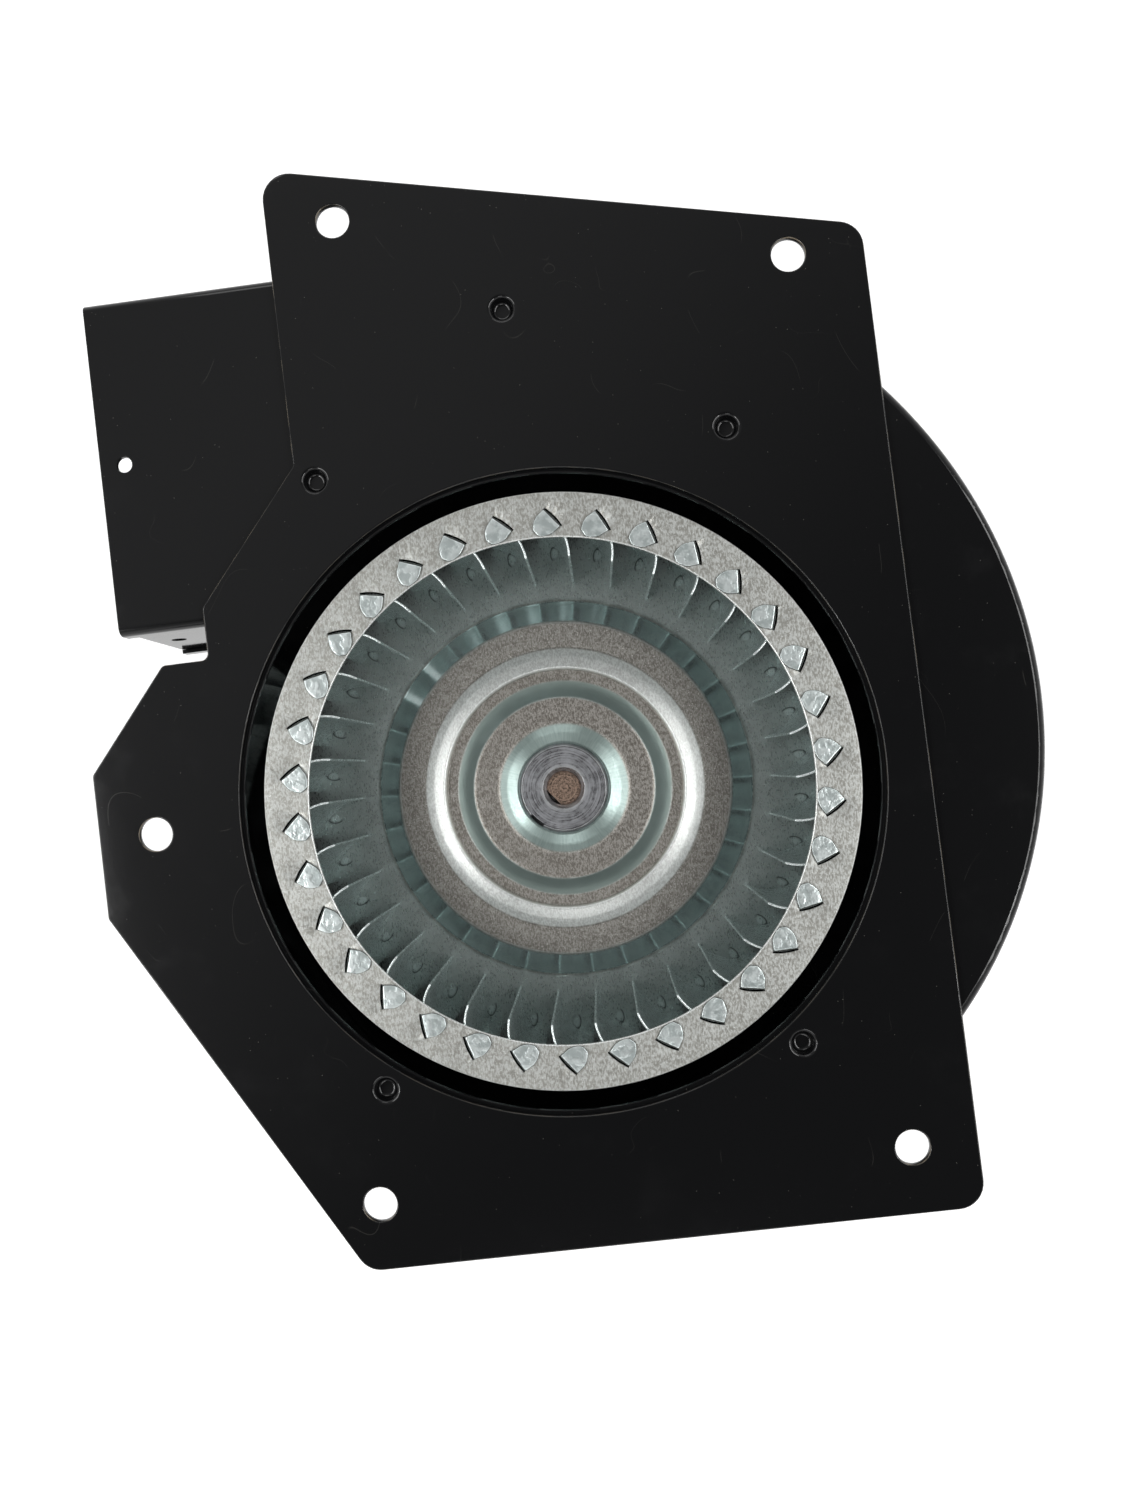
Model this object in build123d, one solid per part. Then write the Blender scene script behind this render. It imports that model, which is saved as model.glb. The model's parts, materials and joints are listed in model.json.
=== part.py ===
from build123d import *
import math
import os

# Draft inducer blower, lying on its motor with the inlet facing up.
# Millimetres. The origin is on the shaft axis, on the front face of the mounting plate.
# +Z points out of the inlet and the outlet duct points along -X.

os.makedirs("parts", exist_ok=True)

# Sheet thicknesses
plate_thickness = 1.5
panel_thickness = 0.9
wrap_thickness = 0.9

# Mounting plate outline
plate_right = 76.8
plate_right_top = 110.1
plate_bottom = -95.2
plate_top_left = 139.1
plate_upper_left = -48.0
plate_shoulder = 75.1
plate_notch_left = -70.9
plate_notch_top = 47.5
plate_notch_bottom = 36.4
plate_notch_outer = -80.9
plate_left = -98.5
plate_left_top = 14.9
plate_left_bottom = -15.8
plate_slant_foot = -51.8
plate_large_corner = 5.5
plate_small_corner = 1.5

# Fixing holes in the mounting plate
fixing_hole_radius = 3.55
fixing_top_left = (-33.6, 126.0)
fixing_top_right = (61.0, 105.6)
fixing_left = (-86.3, 0.9)
fixing_bottom_y = -81.6
fixing_bottom_middle = 7.8
fixing_bottom_spacing = 111.1

# Clinch joints between the mounting plate and the housing
clinch_radius = 2.75
clinch_depth = 2.1
clinch_wall = 0.45
clinch_side_x = 43.8
clinch_upper_y = 71.4
clinch_lower_y = -58.0
clinch_top_y = 102.5

# Impeller
wheel_radius = 63.5
wheel_recess = 2.6
ring_width = 9.7
ring_thickness = 0.8
ring_edge_radius = 0.3
wheel_rear_gap = 1.8
wheel_sheet = 0.8
blade_count = 34
blade_start_angle = -3.7
blade_thickness = 0.5
blade_rim_gap = 2.0
blade_reach = 11.7
blade_arc_radius = 12.0
blade_inlet_angle = 3.0
tab_reach = 5.5
tab_width = 5.1
tab_length = 4.8
tab_side = 2.3
tab_tip_width = 1.8
tab_clearance = 0.06

# Scroll housing, its inlet opening and its duct
scroll_gap = 38.4
scroll_growth = 9.0
scroll_cutoff_angle = -205.0
housing_depth = 37.0
mouth_gap = 3.7
plate_opening_margin = 0.7
rim_bend_radius = 1.8
rim_depth = 4.5
duct_bottom = 44.0
duct_outlet_x = -90.0
duct_screw_radius = 1.7
duct_screw_inset = 5.3
duct_screw_offset = 0.4

# Dished centre of the impeller back plate, with heights above its flat outer zone
dish_foot_gap = 4.2
dish_step_run = 6.0
dish_step_height = 5.8
bead_zone_half = 6.0
bead_crest_inset = 4.8
bead_width = 5.2
bead_height = 1.5
groove_width = 2.9
cone_run = 4.0
cone_height = 3.6
collar_width = 5.3
collar_crest_stand = 0.6
collar_height = 1.8
flank_share = 0.65
lip_share = 0.8

# Hub and its set screw
hub_radius = 10.3
hub_front_stand = 1.4
hub_rear_gap = 1.0
hub_flange_radius = 13.5
hub_flange_thickness = 2.0
bore_chamfer = 0.9
hub_notch_length = 4.0
hub_notch_depth = 0.9
hub_notch_height = 1.2
hub_notch_angle = 224.0
set_screw_radius = 3.0
set_screw_from_rear = 5.0
set_screw_socket = 1.4

# Shaft
shaft_radius = 3.97
shaft_flat_depth = 0.8
shaft_flat_length = 24.0
shaft_flat_angle = 218.0
shaft_chamfer = 0.5
shaft_end_recess = 0.3
running_clearance = 0.03
press_clearance = 0.02
part_clearance = 0.1

# How far a cutting body reaches past the face it cuts
overcut = 1.0

# Shaft seal on the back of the housing
seal_hole_radius = 8.0
seal_radius = 14.0
seal_thickness = 2.0
seal_running_clearance = 0.3
retainer_radius = 19.0
retainer_lip = 2.5
retainer_sheet = 0.8

# Motor envelope
motor_radius = 42.0
motor_gap = 18.5
bell_sheet = 1.2
bell_rim_height = 8.0
bell_shoulder = 11.0
bell_drum_height = 12.0
bell_bend_radius = 2.0
bell_vent_count = 8
bell_vent_width = 7.0
bell_vent_height = 6.0
stack_length = 26.0

# Bearings
pocket_radius = 9.0
pocket_hole_radius = 5.5
bearing_length = 9.5
wick_thickness = 1.4
cap_thickness = 0.8

# Stator and rotor
yoke_width = 7.0
stator_bore_radius = 22.05
air_gap = 0.35
pole_count = 4
pole_neck_width = 14.0
pole_shoe_thickness = 4.2
pole_shoe_angle = 76.0
shading_slot_width = 1.8
shading_slot_depth = 3.6
shading_slot_angle = 21.0
shading_bar_width = 1.2
shading_bar_depth = 2.4
bobbin_wall = 0.8
coil_build = 5.0
rotor_bar_count = 17
rotor_bar_radius = 1.4
cage_ring_height = 3.6
cage_ring_width = 7.0
spacer_wall = 2.2
thrust_washer_thickness = 0.6
thrust_washer_count = 2

# Cooling fan on the shaft
fan_radius = 34.0
fan_hub_radius = 8.0
fan_seal_gap = 2.6
fan_web = 1.4
fan_blade_count = 10
fan_blade_height = 7.0
fan_blade_thickness = 1.4
fan_blade_inset = 1.0
fan_hub_stand = 1.0

# Motor bracket and its rubber mounts
bracket_sheet = 1.5
bracket_leg_count = 3
bracket_leg_angle = 90.0
bracket_leg_width = 16.0
bracket_leg_gap = 7.0
bracket_bend_radius = 3.0
foot_reach = 11.0
foot_hole_radius = 5.0
grommet_radius = 7.5
grommet_flange = 3.0
sleeve_radius = 3.3
stud_radius = 2.1
stud_head_radius = 3.4
stud_nut_across = 8.0
stud_nut_height = 3.2
stud_end_stand = 2.0
bolt_edge_distance = 3.5
bolt_radius = 2.1
bolt_hole_clearance = 0.3
bolt_head_across = 7.0
bolt_head_height = 2.8
bolt_nut_height = 3.2

# Lead bushing
bushing_radius = 4.3
bushing_bore_radius = 3.0
bushing_flange_radius = 5.6
bushing_flange_thickness = 1.5
bushing_angle = -90.0

# Radii that follow the wheel, the hub and the motor
ring_inner_radius = wheel_radius - ring_width
blade_outer_radius = wheel_radius - blade_rim_gap
blade_inner_radius = blade_outer_radius - blade_reach
tab_inner_radius = blade_outer_radius - tab_reach
panel_opening_radius = wheel_radius + mouth_gap
plate_opening_radius = panel_opening_radius + plate_opening_margin
scroll_radius = wheel_radius + scroll_gap
dish_foot_radius = blade_inner_radius - dish_foot_gap
dish_step_radius = dish_foot_radius - dish_step_run
collar_outer_radius = hub_radius + collar_width
collar_crest_radius = hub_radius + collar_crest_stand
bead_outer_radius = (dish_step_radius + collar_outer_radius) / 2 + bead_zone_half
bead_crest_radius = bead_outer_radius - bead_crest_inset
bead_inner_radius = bead_outer_radius - bead_width
groove_inner_radius = bead_inner_radius - groove_width
cone_top_radius = groove_inner_radius - cone_run
bell_drum_radius = motor_radius - bell_shoulder
yoke_inner_radius = motor_radius - yoke_width
bolt_circle_radius = motor_radius - bolt_edge_distance
bracket_leg_radius = motor_radius + bracket_leg_gap
foot_radius = bracket_leg_radius + foot_reach

# Heights of the main faces
plate_back = -plate_thickness
panel_back = plate_back - panel_thickness
rear_panel_front = panel_back - housing_depth
rear_panel_back = rear_panel_front - panel_thickness
ring_front = -wheel_recess
ring_back = ring_front - ring_thickness
wheel_back = rear_panel_front + wheel_rear_gap
web_front = wheel_back + wheel_sheet
hub_seat = web_front + dish_step_height + cone_height
hub_front = hub_seat + collar_height + hub_front_stand
hub_rear = rear_panel_front + hub_rear_gap
pocket_depth = bell_sheet + bearing_length + wick_thickness + cap_thickness
front_drum_end = rear_panel_back - motor_gap
front_shoulder = front_drum_end - bell_drum_height
stack_front = front_shoulder - bell_rim_height
stack_middle = stack_front - stack_length / 2
stack_rear = stack_front - stack_length
rear_shoulder = stack_rear - bell_rim_height
rear_drum_end = rear_shoulder - bell_drum_height


upward = (Align.CENTER, Align.CENTER, Align.MIN)
outward = (Align.MIN, Align.CENTER, Align.MIN)


def span(radius, top, bottom):
    """Solid cylinder on the shaft axis between two heights."""
    return Pos(0, 0, bottom) * Cylinder(radius, top - bottom, align=upward)


def sleeve(outer, inner, top, bottom):
    """Tube on the shaft axis between two heights."""
    return span(outer, top, bottom) - span(inner, top + overcut, bottom - overcut)


def raised(face, top, bottom):
    """Flat outline in the XY plane made solid between two heights."""
    return extrude(Pos(0, 0, bottom) * face, amount=top - bottom)


def turned(points):
    """Solid turned about the shaft axis from points given as radius and height."""
    profile = make_face(Polyline(*[(r, 0, z) for r, z in points], close=True))
    return revolve(profile, Axis.Z)


def around(piece, count, start=0.0):
    """Copies of a piece evenly spaced about the shaft axis."""
    return [Rot(0, 0, start + i * 360 / count) * piece for i in range(count)]


def at_bolts(piece):
    """Copies of a piece at the motor's through bolts, midway between the poles."""
    return around(Pos(bolt_circle_radius, 0, 0) * piece, pole_count, 180 / pole_count)


def hexagon(across, height):
    """Hexagonal prism standing on the XY plane, with its across-flats size."""
    return extrude(RegularPolygon(across / 2, 6, major_radius=False), amount=height)


def write(name, *pieces):
    """One STEP file for one node, with one solid or a group of them."""
    solids = [s for p in pieces for s in p.solids()]
    shape = solids[0] if len(solids) == 1 else Compound(children=solids)
    shape.label = name
    export_step(shape, f"parts/{name}.step")


# Scroll housing outline

def scroll_radius_at(angle):
    """Radius of the housing's rim at an angle in radians from +X."""
    return scroll_radius + scroll_growth * angle


def scroll_point(angle, inset):
    reach = scroll_radius_at(angle) - inset
    return Vector(reach * math.cos(angle), reach * math.sin(angle))


def scroll_direction(angle):
    """Unit direction of travel along the spiral, clockwise from the duct to the cut-off."""
    reach = scroll_radius_at(angle)
    across = Vector(math.sin(angle), -math.cos(angle)) * reach
    inward = Vector(math.cos(angle), math.sin(angle)) * -scroll_growth
    return (across + inward).normalized()


def duct_tangent_angle():
    """Angle at which the spiral runs level into the duct's top wall."""
    angle = math.pi / 2
    for _ in range(6):
        angle = math.pi / 2 + math.atan(scroll_growth / scroll_radius_at(angle))
    return angle


level_angle = duct_tangent_angle()
cutoff_angle = math.radians(scroll_cutoff_angle)
duct_top = scroll_point(level_angle, 0).Y
cutoff = scroll_point(cutoff_angle, 0)
cutoff_run = scroll_direction(cutoff_angle)
cutoff_side = Vector(-cutoff_run.Y, cutoff_run.X)
tongue_radius = (duct_bottom - cutoff.Y) / (1 + cutoff_side.Y)
tongue_centre = cutoff + cutoff_side * tongue_radius


def housing_outline(inset, outlet):
    """Outline of the scroll and its duct, inset from the rim, with the duct cut off at x = outlet."""
    steps = 24
    angles = [level_angle + (cutoff_angle - level_angle) * i / steps for i in range(steps + 1)]
    spiral_points = [scroll_point(a, inset) for a in angles]
    spiral = Spline(*spiral_points)
    tip = spiral_points[-1]
    under = Vector(tongue_centre.X, duct_bottom + inset)
    reach = tongue_radius + inset
    middle = (tip - tongue_centre).normalized() + Vector(0, 1)
    tongue = ThreePointArc(tip, tongue_centre + middle.normalized() * reach, under)
    lower = Vector(outlet, duct_bottom + inset)
    upper = Vector(outlet, duct_top - inset)
    edges = [Line(upper, spiral_points[0]), spiral, tongue, Line(under, lower), Line(lower, upper)]
    return make_face(edges)


outlet_overrun = 6.0
far_outlet = duct_outlet_x - outlet_overrun
outlet_trim = Pos(duct_outlet_x, 0, 0) * Box(
    4 * outlet_overrun, 4 * scroll_radius, 4 * scroll_radius, align=(Align.MAX, Align.CENTER, Align.CENTER)
)


def housing_pan(face_height, inward):
    """Sheet panel with a bent rim, its flat face at face_height and its rim turned inward (-1 or 1)."""
    outer = extrude(housing_outline(0, far_outlet), amount=rim_depth)
    outer = fillet(outer.faces().sort_by(Axis.Z)[-1].edges(), rim_bend_radius)
    inner_outline = housing_outline(panel_thickness, far_outlet - outlet_overrun)
    inner = extrude(inner_outline, amount=rim_depth - panel_thickness)
    inner = fillet(inner.faces().sort_by(Axis.Z)[-1].edges(), rim_bend_radius - panel_thickness)
    pan = Pos(0, 0, -rim_depth) * (outer - inner) - outlet_trim
    if inward > 0:
        pan = mirror(pan, Plane.XY)
    return Pos(0, 0, face_height) * pan


# Mounting plate

clinch_places = [(0, clinch_top_y)] + [
    (side * clinch_side_x, y) for side in (-1, 1) for y in (clinch_upper_y, clinch_lower_y)
]
fixing_places = [fixing_top_left, fixing_top_right, fixing_left] + [
    (fixing_bottom_middle + side * fixing_bottom_spacing / 2, fixing_bottom_y) for side in (-1, 1)
]


def drill(places, radius, top, bottom):
    return [Pos(x, y, 0) * span(radius, top, bottom) for x, y in places]


def mounting_plate():
    corners = [
        ((plate_upper_left, plate_top_left), plate_large_corner),
        ((plate_right, plate_right_top), plate_large_corner),
        ((plate_right, plate_bottom), plate_large_corner),
        ((plate_slant_foot, plate_bottom), plate_large_corner),
        ((plate_left, plate_left_bottom), plate_small_corner),
        ((plate_left, plate_left_top), plate_small_corner),
        ((plate_notch_outer, plate_notch_bottom), plate_small_corner),
        ((plate_notch_left, plate_notch_bottom), plate_small_corner),
        ((plate_notch_left, plate_notch_top), plate_small_corner),
        ((plate_upper_left, plate_shoulder), plate_small_corner),
    ]
    points = [point for point, _ in corners]
    radii = [radius for _, radius in corners]
    outline = make_face(FilletPolyline(*points, radius=radii, close=True))
    plate = raised(outline, 0, plate_back)
    plate -= span(plate_opening_radius, overcut, plate_back - overcut)
    plate -= drill(fixing_places, fixing_hole_radius, overcut, plate_back - overcut)
    cup_outer = clinch_radius + clinch_wall
    plate += drill(clinch_places, cup_outer, plate_back, -clinch_depth - clinch_wall)
    plate -= drill(clinch_places, clinch_radius, overcut, -clinch_depth)
    return plate


def clinch_seat(piece):
    """The housing panel's share of each clinch joint: a cup that holds the plate's cup."""
    inner = clinch_radius + clinch_wall + tab_clearance
    floor = -clinch_depth - clinch_wall - tab_clearance
    piece += drill(clinch_places, inner + clinch_wall, panel_back, floor - clinch_wall)
    piece -= drill(clinch_places, inner, plate_back + overcut, floor)
    return piece


def front_panel():
    panel = housing_pan(plate_back, -1)
    panel -= span(panel_opening_radius, 0, panel_back - rim_depth)
    panel = clinch_seat(panel)
    screw = (duct_outlet_x + duct_screw_inset, (duct_bottom + duct_top) / 2 + duct_screw_offset)
    panel -= drill([screw], duct_screw_radius, 0, panel_back - rim_depth)
    return panel


# The side walls stand just inside the panels' rims and stop where the rims begin to bend.
wall_inset = panel_thickness + part_clearance
wall_top = panel_back - (rim_bend_radius - panel_thickness)
wall_bottom = rear_panel_front + (rim_bend_radius - panel_thickness)


def plain_side_wall():
    """Straight wall of the duct on the scroll's side, from the outlet to the tongue, with no hole yet."""
    size = (tongue_centre.X - duct_outlet_x, wrap_thickness, wall_top - wall_bottom)
    return Pos(duct_outlet_x, duct_bottom + wall_inset, wall_bottom) * Box(*size, align=Align.MIN)


def duct_side_wall():
    middle = (wall_top + wall_bottom) / 2
    screw = Pos(duct_outlet_x + duct_screw_inset, duct_bottom, middle) * Rot(90, 0, 0)
    return plain_side_wall() - screw * Cylinder(duct_screw_radius, 4 * (wall_inset + wrap_thickness))


def scroll_wrap():
    outer = housing_outline(wall_inset, far_outlet)
    inner = housing_outline(wall_inset + wrap_thickness, far_outlet - outlet_overrun)
    return raised(outer - inner, wall_top, wall_bottom) - outlet_trim - plain_side_wall()


leg_angles = [bracket_leg_angle + i * 360 / bracket_leg_count for i in range(bracket_leg_count)]
foot_places = [
    (foot_radius * math.cos(math.radians(a)), foot_radius * math.sin(math.radians(a))) for a in leg_angles
]


def rear_panel():
    panel = housing_pan(rear_panel_back, 1)
    panel -= span(seal_hole_radius, rear_panel_front + overcut, rear_panel_back - overcut)
    stud_hole = stud_head_radius + press_clearance
    return panel - drill(foot_places, stud_hole, rear_panel_front + overcut, rear_panel_back - overcut)


# Impeller

blade_lean = math.radians(blade_inlet_angle)
blade_centre = Vector(
    blade_inner_radius - blade_arc_radius * math.sin(blade_lean), blade_arc_radius * math.cos(blade_lean)
)


def blade_band(clearance, outer_radius, inner_radius):
    """Flat outline of one curved blade between two radii, grown by a clearance on each side."""
    half = blade_thickness / 2 + clearance
    place = Pos(blade_centre.X, blade_centre.Y)
    band = place * Circle(blade_arc_radius + half) - place * Circle(blade_arc_radius - half)
    window = Circle(outer_radius) - Circle(inner_radius)
    return (band & window).faces().sort_by(Axis.Y)[0]


def blade_point(radius):
    """Point of the blade's centre line at a radius from the shaft axis."""
    reach = blade_centre.length
    toward_axis = math.atan2(-blade_centre.Y, -blade_centre.X)
    swing = math.acos((reach**2 + blade_arc_radius**2 - radius**2) / (2 * reach * blade_arc_radius))
    angle = toward_axis + swing
    return blade_centre + Vector(math.cos(angle), math.sin(angle)) * blade_arc_radius


def tab_outer_radius():
    """Radius at which the tab's straight fold reaches its full width."""
    start = blade_point(tab_inner_radius)
    low, high = tab_inner_radius, blade_outer_radius
    for _ in range(40):
        middle = (low + high) / 2
        if (blade_point(middle) - start).length < tab_width:
            low = middle
        else:
            high = middle
    return low


tab_end_radius = tab_outer_radius()


def folded_tab(top, bottom):
    """The part of a blade's tab that lies flat, on the leading side of the blade."""
    start = blade_point(tab_inner_radius)
    run = (blade_point(tab_end_radius) - start).normalized()
    side = Vector(-run.Y, run.X)
    start = start - side * (blade_thickness / 2)
    tip_start = (tab_width - tab_tip_width) / 2
    shape = [(0, 0), (tab_width, 0), (tab_width, tab_side), (tab_width - tip_start, tab_length)]
    shape += [(tip_start, tab_length), (0, tab_side)]
    outline = make_face(Polyline(*[start + run * u + side * v for u, v in shape], close=True))
    return raised(outline, top, bottom)


def blade():
    body = raised(blade_band(0, blade_outer_radius, blade_inner_radius), ring_back, web_front)
    root = blade_band(0, tab_end_radius, tab_inner_radius)
    body += raised(root, ring_front + blade_thickness, wheel_back - blade_thickness)
    body += folded_tab(ring_front + blade_thickness, ring_front)
    body += folded_tab(wheel_back, wheel_back - blade_thickness)
    return body


def tab_slots():
    slot = blade_band(tab_clearance, tab_end_radius + tab_clearance, tab_inner_radius - tab_clearance)
    return around(slot, blade_count, blade_start_angle)


def end_ring():
    ring = raised(Circle(wheel_radius) - Circle(ring_inner_radius), ring_front, ring_back)
    ring = fillet(ring.edges(), ring_edge_radius)
    return ring - [raised(slot, ring_front + overcut, ring_back - overcut) for slot in tab_slots()]


def dish_line():
    """Centre line of the back plate's sheet as radius and height, from the rim to the hub."""
    flat = wheel_back + wheel_sheet / 2
    step = flat + dish_step_height
    seat = step + cone_height
    return [
        (wheel_radius, flat),
        (dish_foot_radius, flat),
        (dish_step_radius, step),
        (bead_outer_radius, step),
        ((bead_outer_radius + bead_crest_radius) / 2, step + bead_height * flank_share),
        (bead_crest_radius, step + bead_height),
        (bead_inner_radius, step + bead_height * lip_share),
        (bead_inner_radius - wheel_sheet / 2, step),
        (groove_inner_radius, step),
        (cone_top_radius, seat),
        (collar_outer_radius, seat),
        ((collar_outer_radius + collar_crest_radius) / 2, seat + collar_height * flank_share),
        (collar_crest_radius, seat + collar_height),
        (hub_radius + press_clearance, seat + collar_height),
    ]


def back_plate():
    line = Polyline(*[(r, z) for r, z in dish_line()])
    section = trace(line, line_width=wheel_sheet)
    plate = revolve(Rot(90, 0, 0) * section, Axis.Z)
    return plate - [raised(slot, web_front + overcut, wheel_back - overcut) for slot in tab_slots()]


hub_flange_front = hub_seat - wheel_sheet
screw_height = hub_rear + set_screw_from_rear


def hub():
    body = span(hub_radius, hub_front, hub_rear)
    body += span(hub_flange_radius, hub_flange_front, hub_flange_front - hub_flange_thickness)
    body = chamfer(body.edges().filter_by(GeomType.CIRCLE).sort_by(Axis.Z)[-1], shaft_chamfer)
    bore = shaft_radius + press_clearance
    body -= span(bore, hub_front + overcut, hub_rear - overcut)
    cone_foot = hub_front - bore_chamfer
    body -= turned([(0, hub_front), (bore + bore_chamfer, hub_front), (bore, cone_foot), (0, cone_foot)])
    notch = Pos(hub_radius, 0, hub_front) * Box(2 * hub_notch_depth, hub_notch_length, 2 * hub_notch_height)
    body -= Rot(0, 0, hub_notch_angle) * notch
    thread = Cylinder(set_screw_radius + press_clearance, hub_radius + overcut, align=upward)
    return body - Rot(0, 0, shaft_flat_angle) * Pos(0, 0, screw_height) * Rot(0, 90, 0) * thread


def set_screw():
    inner = shaft_radius - shaft_flat_depth
    length = hub_radius - inner
    screw = Cylinder(set_screw_radius, length, align=upward)
    socket = Pos(0, 0, length / 2) * hexagon(2 * set_screw_socket, length)
    place = Rot(0, 0, shaft_flat_angle) * Pos(inner, 0, screw_height)
    return place * Rot(0, 90, 0) * (screw - socket)


# Shaft and what turns with it in the motor

shaft_end_front = hub_front - shaft_end_recess
shaft_end_rear = rear_drum_end + cap_thickness + wick_thickness / 2
cage_front = stack_front + cage_ring_height
cage_rear = stack_rear - cage_ring_height
pocket_floor_front = front_drum_end - pocket_depth
pocket_floor_rear = rear_drum_end + pocket_depth
washer_stack = thrust_washer_thickness * thrust_washer_count
rotor_radius = stator_bore_radius - air_gap


def motor_shaft():
    shaft = span(shaft_radius, shaft_end_front, shaft_end_rear)
    shaft = chamfer(shaft.edges().filter_by(GeomType.CIRCLE), shaft_chamfer)
    cut = Box(shaft_radius, 3 * shaft_radius, shaft_flat_length + overcut, align=outward)
    flat = Pos(shaft_radius - shaft_flat_depth, 0, shaft_end_front - shaft_flat_length) * cut
    return shaft - Rot(0, 0, shaft_flat_angle) * flat


def spacer(top, bottom):
    return sleeve(shaft_radius + spacer_wall, shaft_radius + press_clearance, top, bottom)


def rotor_spacers():
    front = spacer(pocket_floor_front - part_clearance - washer_stack, stack_front)
    rear = spacer(stack_rear, pocket_floor_rear + part_clearance + washer_stack)
    return [front, rear]


def thrust_washers():
    outer = shaft_radius + spacer_wall + part_clearance
    inner = shaft_radius + running_clearance
    washers = []
    for i in range(thrust_washer_count):
        top = pocket_floor_front - part_clearance - i * thrust_washer_thickness
        bottom = pocket_floor_rear + part_clearance + i * thrust_washer_thickness
        washers.append(sleeve(outer, inner, top, top - thrust_washer_thickness))
        washers.append(sleeve(outer, inner, bottom + thrust_washer_thickness, bottom))
    return washers


bar_circle = rotor_radius - 2 * rotor_bar_radius


def rotor_core():
    core = sleeve(rotor_radius, shaft_radius + press_clearance, stack_front, stack_rear)
    bar = Pos(bar_circle, 0, 0) * span(rotor_bar_radius, stack_front + overcut, stack_rear - overcut)
    return core - around(bar, rotor_bar_count)


def rotor_cage():
    bar = Pos(bar_circle, 0, 0) * span(rotor_bar_radius - press_clearance, stack_front, stack_rear)
    outer = bar_circle + 2 * rotor_bar_radius
    cage = sleeve(outer, outer - cage_ring_width, cage_front, stack_front)
    cage += sleeve(outer, outer - cage_ring_width, stack_rear, cage_rear)
    return cage + around(bar, rotor_bar_count)


# Motor shell

bolt_hole_radius = bolt_radius + bolt_hole_clearance
wick_bore_radius = shaft_radius + seal_running_clearance


def bell(front):
    """Pressed end bell with a rim against the stack, a drum and a bearing pocket open to the outside."""
    half = bell_sheet / 2
    path = [
        (motor_radius - half, 0),
        (motor_radius - half, bell_rim_height - half),
        (bell_drum_radius - half, bell_rim_height - half),
        (bell_drum_radius - half, bell_rim_height + bell_drum_height - half),
        (pocket_radius + half, bell_rim_height + bell_drum_height - half),
        (pocket_radius + half, bell_rim_height + bell_drum_height - pocket_depth + half),
        (pocket_hole_radius, bell_rim_height + bell_drum_height - pocket_depth + half),
    ]
    line = FilletPolyline(*path, radius=bell_bend_radius - half)
    shell = revolve(Rot(90, 0, 0) * trace(line, line_width=bell_sheet), Axis.Z)
    vent_height = bell_rim_height + bell_drum_height / 2
    vent = Pos(bell_drum_radius, 0, vent_height) * Box(4 * bell_sheet, bell_vent_width, bell_vent_height)
    shell -= around(vent, bell_vent_count, 180 / bell_vent_count)
    shell -= at_bolts(Pos(0, 0, bell_rim_height) * Cylinder(bolt_hole_radius, 4 * bell_sheet))
    if front:
        return Pos(0, 0, stack_front) * shell
    bushing = Pos(bell_drum_radius, 0, vent_height) * Rot(0, 90, 0) * Cylinder(
        bushing_radius + part_clearance, 4 * bell_sheet
    )
    shell -= Rot(0, 0, bushing_angle) * bushing
    return Pos(0, 0, stack_rear) * mirror(shell, Plane.XY)


def bearing(middle):
    ball = Sphere(pocket_radius - part_clearance / 2)
    ball &= Cylinder(pocket_radius, bearing_length)
    return Pos(0, 0, middle) * (ball - Cylinder(shaft_radius + running_clearance, bearing_length + overcut))


front_bearing_middle = pocket_floor_front + bell_sheet + bearing_length / 2
rear_bearing_middle = pocket_floor_rear - bell_sheet - bearing_length / 2


def oil_wicks():
    outer = pocket_radius - part_clearance
    front_top = front_drum_end - cap_thickness
    rear_bottom = rear_drum_end + cap_thickness
    return [
        sleeve(outer, wick_bore_radius, front_top, front_top - wick_thickness),
        sleeve(outer, wick_bore_radius, rear_bottom + wick_thickness, rear_bottom),
    ]


def front_bearing_cap():
    outer = pocket_radius - part_clearance
    return sleeve(outer, wick_bore_radius, front_drum_end, front_drum_end - cap_thickness)


def rear_bearing_cap():
    return span(pocket_radius - part_clearance, rear_drum_end + cap_thickness, rear_drum_end)


def stator_core():
    core = Circle(motor_radius) - Circle(yoke_inner_radius)
    neck_end = yoke_inner_radius + overcut
    neck_start = stator_bore_radius + pole_shoe_thickness / 2
    neck = Pos((neck_start + neck_end) / 2, 0) * Rectangle(neck_end - neck_start, pole_neck_width)
    shoe_ring = Circle(stator_bore_radius + pole_shoe_thickness) - Circle(stator_bore_radius)
    half = math.radians(pole_shoe_angle / 2)
    reach = 2 * stator_bore_radius
    far, side = reach * math.cos(half), reach * math.sin(half)
    wedge = make_face(Polyline((0, 0), (far, -side), (far, side), close=True))
    shoe = shoe_ring & wedge
    slot_reach = shading_slot_depth + overcut
    slot = Rectangle(slot_reach, shading_slot_width, align=(Align.MIN, Align.CENTER))
    slot = Rot(0, 0, shading_slot_angle) * Pos(stator_bore_radius - overcut, 0) * slot
    pole = (shoe - slot) + neck
    core += around(pole, pole_count)
    core -= at_bolts(Circle(bolt_hole_radius))
    return raised(core, stack_front, stack_rear)


shoe_outer = stator_bore_radius + pole_shoe_thickness
neck_half_width = pole_neck_width / 2 + part_clearance
neck_half_height = stack_length / 2 + part_clearance
coil_half_width = neck_half_width + bobbin_wall + coil_build
coil_inner = shoe_outer + part_clearance
coil_outer = math.sqrt(yoke_inner_radius**2 - coil_half_width**2) - part_clearance


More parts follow.
